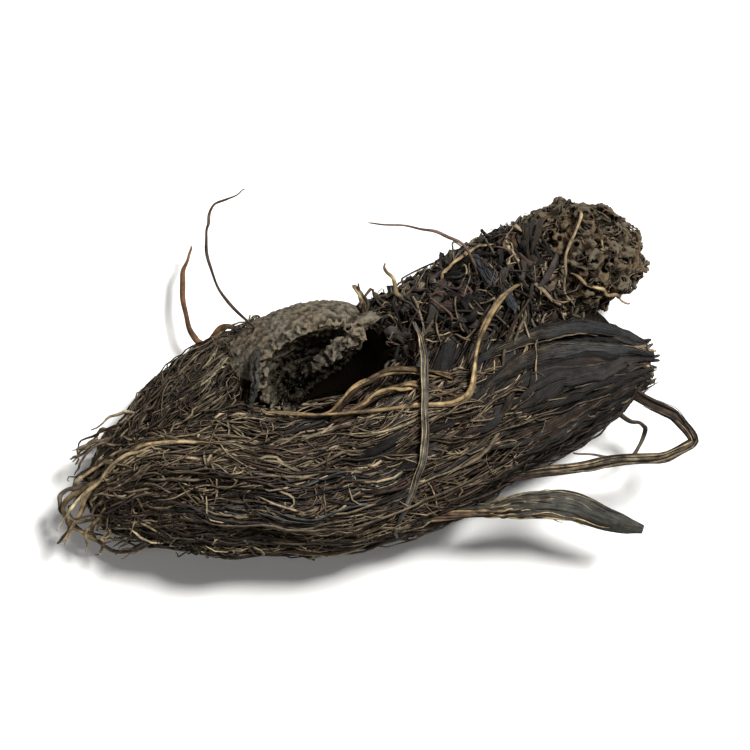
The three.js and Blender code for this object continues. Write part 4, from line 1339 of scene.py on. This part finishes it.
placed_ribbon("upper_grey_strip", UPPER_ROUTE, [0.2, 0.5, 0.7, 0.65, 0.35], "#232323",
              ribbon_section(0.1, 0.2, 4, 0.05), twist=0.2, fibres=8, sway=0.06, palette=DARK_FIBRES)
SCALE_ROUTE = [(10.0, 13.6, 8.8), (11.0, 12.0, 10.6), (12.4, 10.2, 11.4), (13.6, 8.6, 11.0)]
placed_ribbon("slate_scale", SCALE_ROUTE, [0.25, 0.6, 0.65, 0.3], "#2c2f33",
              ribbon_section(0.12, 0.2, 3, 0.04), twist=0.3, fibres=5, sway=0.05)
FLANK_ROUTE = [(-9.3, 5.2, 11.7), (-9.6, 3.6, 11.8), (-9.7, 1.6, 11.3), (-10.1, -0.4, 10.3)]
placed_ribbon("strip_on_grey_crown", FLANK_ROUTE, [0.1, 0.3, 0.38, 0.3, 0.12], "#3c3a37",
              ribbon_section(0.3, 0.1, 3, 0.1), twist=0.1, fibres=3, sway=0.08, palette=DARK_FIBRES)

# %% [markdown]
# Beside the brown crown, strips and roots bridge the valley to the bundle. Their routes start on the side
# of the crown that faces the bundle, and run on along it. A dark heart like those of the limbs fills the
# valley under them, so that no gap is left; its dark colour is partly bark and partly painted shade.

# %% Strips from the crown to the bundle
VALLEY = np.array([(22.4, 6.8, 5.6, 0.7, 0.7), (19.8, 7.6, 6.0, 1.6, 1.9), (16.0, 7.0, 6.4, 2.0, 2.4),
                   (9.0, 3.6, 6.4, 2.0, 2.4)])
CROWN_FOOT = 4.3           # how far the strips start in front of the crown's middle, mm


def bridging_paths(count, points):
    """From the side of the brown crown, over the valley, and on along the bundle."""
    x, forward = rng.uniform(14.6, 21.0, count), rng.uniform(3.5, 7.0, count)
    crown_foot = BROWN.middle[1] - CROWN_FOOT * np.sqrt(1 - ((x - BROWN.middle[0]) / BROWN.radii[0]) ** 2)
    start = np.stack([x, crown_foot + rng.uniform(-0.3, 0.5, count), rng.uniform(5.0, 9.0, count)], 1)
    valley = np.stack([x - forward, start[:, 1] - rng.uniform(0.8, 2.0, count) - 0.12 * forward,
                       rng.uniform(7.8, 9.6, count)], 1)
    t_bundle = np.clip((25.0 - valley[:, 0]) / 50, 0.03, 0.9)
    high = rng.uniform(1.6, 2.5, count)
    on_bundle = [skin(BUNDLE, t_bundle + 0.016 * forward * step, high - 0.1 * step,
                      rng.uniform(1.0, 1.05, count)) for step in (1, 2)]
    paths = through(np.stack([start, valley, *on_bundle], 1), points)
    return paths + wander(count, points, 14.0, [(0.15, 6.0)])


# dark like the other hearts: partly bark, partly painted shade
valley_heart = limb_heart("valley_heart", VALLEY, rings=24, sides=30, ridges=9, twist=0.6, lift=1.0)
finish_piece(valley_heart, brown_bark)
STRIPS, STRIP_POINTS = 30, 20
paths = bridging_paths(STRIPS, STRIP_POINTS)
upward = unit(np.array([0.0, 0.2, 1.0]) + wander(STRIPS, STRIP_POINTS, 10.0, [(0.3, 8.0)]))
ribbon_mesh("bridging_strips", paths, upward, taper(STRIPS, STRIP_POINTS, (0.25, 0.6), 0.4, 0.2),
            pick_colours(LEAF_COLOURS, STRIPS), ribbon_section(0.14, 0.25, 2, 0.06, samples=7))
add_roots("bridging_roots", bridging_paths(150, STRIP_POINTS), (0.06, 0.14), BROWN_ROOTS)

# %% [markdown]
# Single roots catch the eye where they leave the outline, cross a crown or arch beside the hollow. Those
# that leave the outline follow routes of the solid. They are 0.2 to 0.6 mm thick. Where one looks like a
# cord, it is a strand of thinner roots, about 1 mm across, that wind round each other.

# %% Routes of single roots and strands
BROWN_STRAND = ("#2c2219", "#5a4835", "#79664b", "#8c785a", "#463829")
GOLDEN_STRAND = ("#4a3c2a", "#2f251b", "#6f5d42", "#3a2d22", "#54452f", "#806c4c", "#33281e")
# Each row: the colours of the roots, how many there are, the radius of the strand, and its route
STRANDS = [
    (("#8a7553", "#6d5c44"), 2, 0.24, [(15.4, 11.6, 11.0), (12.4, 9.6, 12.2), (10.4, 6.2, 12.6),
     (9.2, 0.8, 12.8), (4.0, 0.0, 12.6), (-3.0, -0.8, 12.2), (-9.0, -0.6, 10.6)]),
    (GOLDEN_STRAND, 9, 0.5, [(-5.6, -1.2, 10.6), (-2.6, -0.7, 11.4), (-0.8, 1.4, 11.9), (1.5, 2.7, 12.1),
     (4.4, 3.1, 12.1), (8.0, 2.6, 11.9)]),
    (GOLDEN_STRAND, 7, 0.42, [(-2.8, -1.6, 11.5), (0.2, 0.2, 12.1), (2.6, 1.5, 12.3), (5.6, 1.6, 12.3),
     (9.4, 0.6, 12.0)]),
    (("#3a2c22",), 1, 0.12, [(-7.4, 5.4, 9.4), (-12.6, 9.6, 9.6), (-14.2, 15.4, 9.2), (-13.2, 18.2, 8.6),
     (-10.6, 19.4, 8.2)]),
    (("#5a3f29",), 1, 0.3, [(-9.4, 6.0, 5.6), (-12.8, 7.2, 4.2), (-14.6, 5.6, 3.4), (-16.4, 7.2, 3.0),
     (-16.8, 12.0, 2.8), (-16.2, 14.8, 2.6)]),
    (("#55443a",), 1, 0.14, [(10.0, 8.0, 9.4), (10.4, 11.2, 10.2), (8.8, 14.4, 10.0), (5.0, 16.0, 9.0),
     (0.4, 16.4, 8.0)]),
    (("#7d6a4e",), 1, 0.14, [(8.2, 9.4, 8.4), (7.2, 11.6, 9.0), (9.2, 13.6, 9.4), (11.6, 14.6, 8.6)]),
    (("#4a3f2c", "#6b5f46", "#3a2f24"), 6, 0.45, [(1.2, 5.6, 7.6), (0.4, 7.4, 8.2), (0.0, 9.2, 8.6),
     (-0.8, 10.8, 8.8)]),
    (("#6f6046",), 1, 0.2, [(5.6, 7.6, 7.6), (3.4, 9.8, 9.0), (1.8, 12.8, 9.6)]),
    (("#8f7d5f", "#7a694e"), 2, 0.25, [(-13.0, -3.4, 10.6), (-18.6, -3.6, 10.0), (-21.6, -4.8, 9.2),
     (-24.6, -7.4, 7.6), (-26.2, -10.0, 6.0), (-27.8, -13.0, 4.4)]),
    (("#857459",), 1, 0.18, [(-18.4, -4.4, 9.4), (-21.8, -5.0, 8.4), (-24.4, -5.7, 7.2),
     (-26.4, -7.4, 5.8), (-27.9, -9.8, 4.6)]),
    (("#66583f",), 1, 0.24, [(-20.2, -7.6, 8.0), (-24.4, -7.4, 6.8), (-27.2, -8.8, 5.4),
     (-27.6, -10.6, 4.6), (-26.0, -12.2, 3.8), (-23.8, -12.8, 3.4)]),
    (("#998a6d",), 1, 0.17, [(-20.0, -6.4, 8.4), (-23.6, -6.9, 7.6), (-26.2, -8.8, 6.6),
     (-28.2, -11.6, 5.0)]),
    (("#7c6b4e",), 1, 0.17, [(-20.6, -8.6, 7.8), (-23.4, -9.6, 6.8), (-25.2, -11.4, 5.4),
     (-25.9, -13.6, 3.8)]),
    (("#897757",), 1, 0.14, [(-19.4, -9.4, 7.2), (-22.4, -10.8, 6.0), (-24.0, -12.4, 4.6),
     (-24.4, -13.9, 3.6)]),
    (("#564836",), 1, 0.18, [(-21.6, -10.8, 5.4), (-25.0, -10.6, 5.0), (-27.4, -11.6, 4.4),
     (-28.4, -13.2, 3.6)]),
    (("#7a6a52",), 1, 0.16, [(19.1, 18.4, 8.8), (19.3, 16.5, 11.7), (18.5, 14.4, 12.6),
     (17.8, 12.7, 12.4), (18.0, 11.2, 11.9), (18.2, 10.0, 11.0), (18.9, 8.6, 9.6)]),
    (("#7f6c50",), 1, 0.15, [(18.6, 11.6, 12.0), (20.8, 10.4, 11.2), (22.5, 9.8, 10.2),
     (24.0, 9.2, 8.6)]),
    (("#4c4238",), 1, 0.24, [(-22.4, -7.8, 6.4), (-26.0, -7.4, 5.6), (-28.2, -9.2, 4.8),
     (-26.4, -11.6, 4.0), (-23.8, -12.4, 3.6)]),
    (("#7b6a50",), 1, 0.2, [(-17.0, -11.4, 3.6), (-20.0, -13.4, 2.8), (-23.6, -13.6, 2.2),
     (-25.6, -11.8, 2.2), (-23.0, -10.0, 3.0)]),
    (("#4f463a",), 1, 0.22, [(20.6, 3.0, 4.4), (24.0, -1.0, 4.4), (26.0, -2.4, 4.2), (24.4, -5.0, 4.6),
     (19.4, -4.4, 5.0)]),
    (BROWN_STRAND, 9, 0.55, [(-19.0, -9.8, 5.0), (-15.4, -12.0, 5.2), (-9.6, -13.2, 6.2),
     (-2.0, -13.2, 7.2), (3.0, -11.2, 7.8), (7.0, -10.2, 7.9), (12.4, -9.9, 8.0)]),
]
print("routes of single roots and strands:", len(STRANDS))

# %% [markdown]
# A strand is made of fibres that wind round its route, each at its own distance from the middle. Up close
# one sees separate roots, and from afar a cord. All the single roots and strands make one piece.

# %% Winding and building the strands


def strand_paths(route, fibres, radius, points):
    """Paths of the fibres of one strand, wound round its route, and their radius."""
    at = np.linspace(0, 1, points)
    middle = np.repeat(smooth_row(route, at)[None], fibres, axis=0)
    if fibres == 1:
        return middle + wander(1, points, 20.0, [(0.14, 7.0), (0.04, 3.0)]), radius
    side, top = ring_axes(middle, None)
    turn = np.arange(fibres)[:, None] * 2.4 + rng.uniform(3, 7) * at
    turn = turn + 0.6 * smooth_noise(fibres, points, (1.5,))
    out = radius * 0.62 * np.sqrt((np.arange(fibres)[:, None] + 0.5) / fibres) * (
        1 + 0.3 * smooth_noise(fibres, points, (1.0, 2.5)))
    wound = middle + side * (out * np.cos(turn))[..., None] + top * (out * np.sin(turn))[..., None]
    return wound + wander(fibres, points, 20.0, [(0.1, 7.0), (0.03, 3.0)]), radius * 0.9 / np.sqrt(fibres)


STRAND_POINTS = 60
all_paths, all_radii, all_colours = [], [], []
for palette, fibres, radius, route in STRANDS:
    paths, fibre_radius = strand_paths(route, fibres, radius, STRAND_POINTS)
    all_paths.append(paths)
    all_radii.append(fibre_radius * taper(fibres, STRAND_POINTS, (0.85, 1.15), 0.25, 0.15))
    all_colours += [linear(palette[number % len(palette)]) for number in range(fibres)]
colours = along_root(np.array(all_colours), STRAND_POINTS, tip_light=0.25, blotches=0.45)
strays = root_mesh("stray_roots", np.concatenate(all_paths), np.concatenate(all_radii), colours, 6)
finish_piece(strays, root_fibre)

# %% [markdown]
# Last come the hairs, about 0.1 mm thick and curly. They cross the locks at all angles, and without them
# the bundle looks combed. The bundle and the rhizome each have their own, so that neither mesh gets too
# heavy.

# %% Hairs
for name, stations, count, start, reach, turn, lift in (
        ("bundle_hairs", BUNDLE, 700, (0.3, 1.0), 0.22, 0.26, (0.97, 1.08)),
        ("rhizome_hairs", RHIZOME, 500, (0.0, 1.0), 0.12, 0.9, (0.96, 1.14))):
    wandering_roots(name, BROWN_ROOTS[1:], (0.035, 0.085), sway=1.0, stations=stations, count=count,
                    points=13, start=start, angles=(-0.3, np.pi + 0.3), reach=reach, turn=turn, lift=lift,
                    length=7.0, waves=[(0.2, 4.0), (0.16, 1.8), (0.06, 0.9)])

# %% [markdown]
# The light is that of a small studio. One soft lamp stands at the upper right of the picture, high enough
# to reach into the hollow. A wide weak lamp and an even sky keep the shadows from going fully black. Each
# lamp is a disc, because a disc gives a shadow with a soft edge, and it is aimed at the middle of the root.

# %% Lights
AIM = Vector((0, 0, 0.006))


def soft_light(name, place, size, power):
    data = bpy.data.lights.new(name, "AREA")
    data.shape, data.size, data.energy = "DISK", size, power
    light = bpy.data.objects.new(name, data)
    light.location = place
    light.rotation_euler = (AIM - Vector(place)).to_track_quat("-Z", "Y").to_euler()
    bpy.context.scene.collection.objects.link(light)


soft_light("key", (0.2, 0.2, 0.4), 0.12, 4.6)
soft_light("fill", (-0.3, -0.1, 0.35), 0.3, 0.3)
world = bpy.data.worlds.new("studio")
world.use_nodes = True
sky = world.node_tree.nodes["Background"].inputs
sky["Color"].default_value = (1, 1, 1, 1)
sky["Strength"].default_value = 0.12
bpy.context.scene.world = world

# %% [markdown]
# The floor is one plain pale plane at height 0, where the root rests. It is part of the stage, not of the
# root, so it is marked as a backdrop and left out of the box of the looks. The camera looks straight down. A
# long lens far away keeps the sides of the root from leaning, and its distance follows from the width that
# the picture has to show.

# %% Floor and camera
bpy.ops.object.select_all(action="DESELECT")
bpy.ops.mesh.primitive_plane_add(size=2.0, location=(0, 0, 0))
floor = bpy.context.object
floor.name = "floor"
floor_paint, tree = new_material("pale_floor")
shader = add_node(tree, "ShaderNodeBsdfPrincipled", {"Base Color": (*linear("#f0efec"), 1), "Roughness": 0.9})
add_node(tree, "ShaderNodeOutputMaterial", {"Surface": shader.outputs["BSDF"]})
floor.data.materials.append(floor_paint)
floor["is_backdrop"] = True

PICTURE_WIDTH, PICTURE_HEIGHT_ABOVE_FLOOR = 0.0685, 0.007
LENS, SENSOR = 100, 36
camera_data = bpy.data.cameras.new("camera")
camera_data.lens, camera_data.sensor_width = LENS, SENSOR
camera = bpy.data.objects.new("camera", camera_data)
camera.location = (0, 0, PICTURE_HEIGHT_ABOVE_FLOOR + PICTURE_WIDTH * LENS / SENSOR)
bpy.context.scene.collection.objects.link(camera)
bpy.context.scene.camera = camera
bpy.context.scene.view_settings.view_transform = "Standard"
print("camera height, m:", round(camera.location.z, 4))

# %% [markdown]
# Last, the box of all the pieces is measured and printed beside the box of the solid, with the count of
# triangles added. The box of all the pieces may differ from the box of the solid by a few tenths of a
# millimetre, no more.

visual_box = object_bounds()
for axis, *ends in zip("xyz", *solid_box, *visual_box):
    print(axis, "solid and visual, mm:", [round(v / MM, 2) for v in ends])
print("triangles added:", sum(triangles.values()), "in", len(triangles), "pieces")
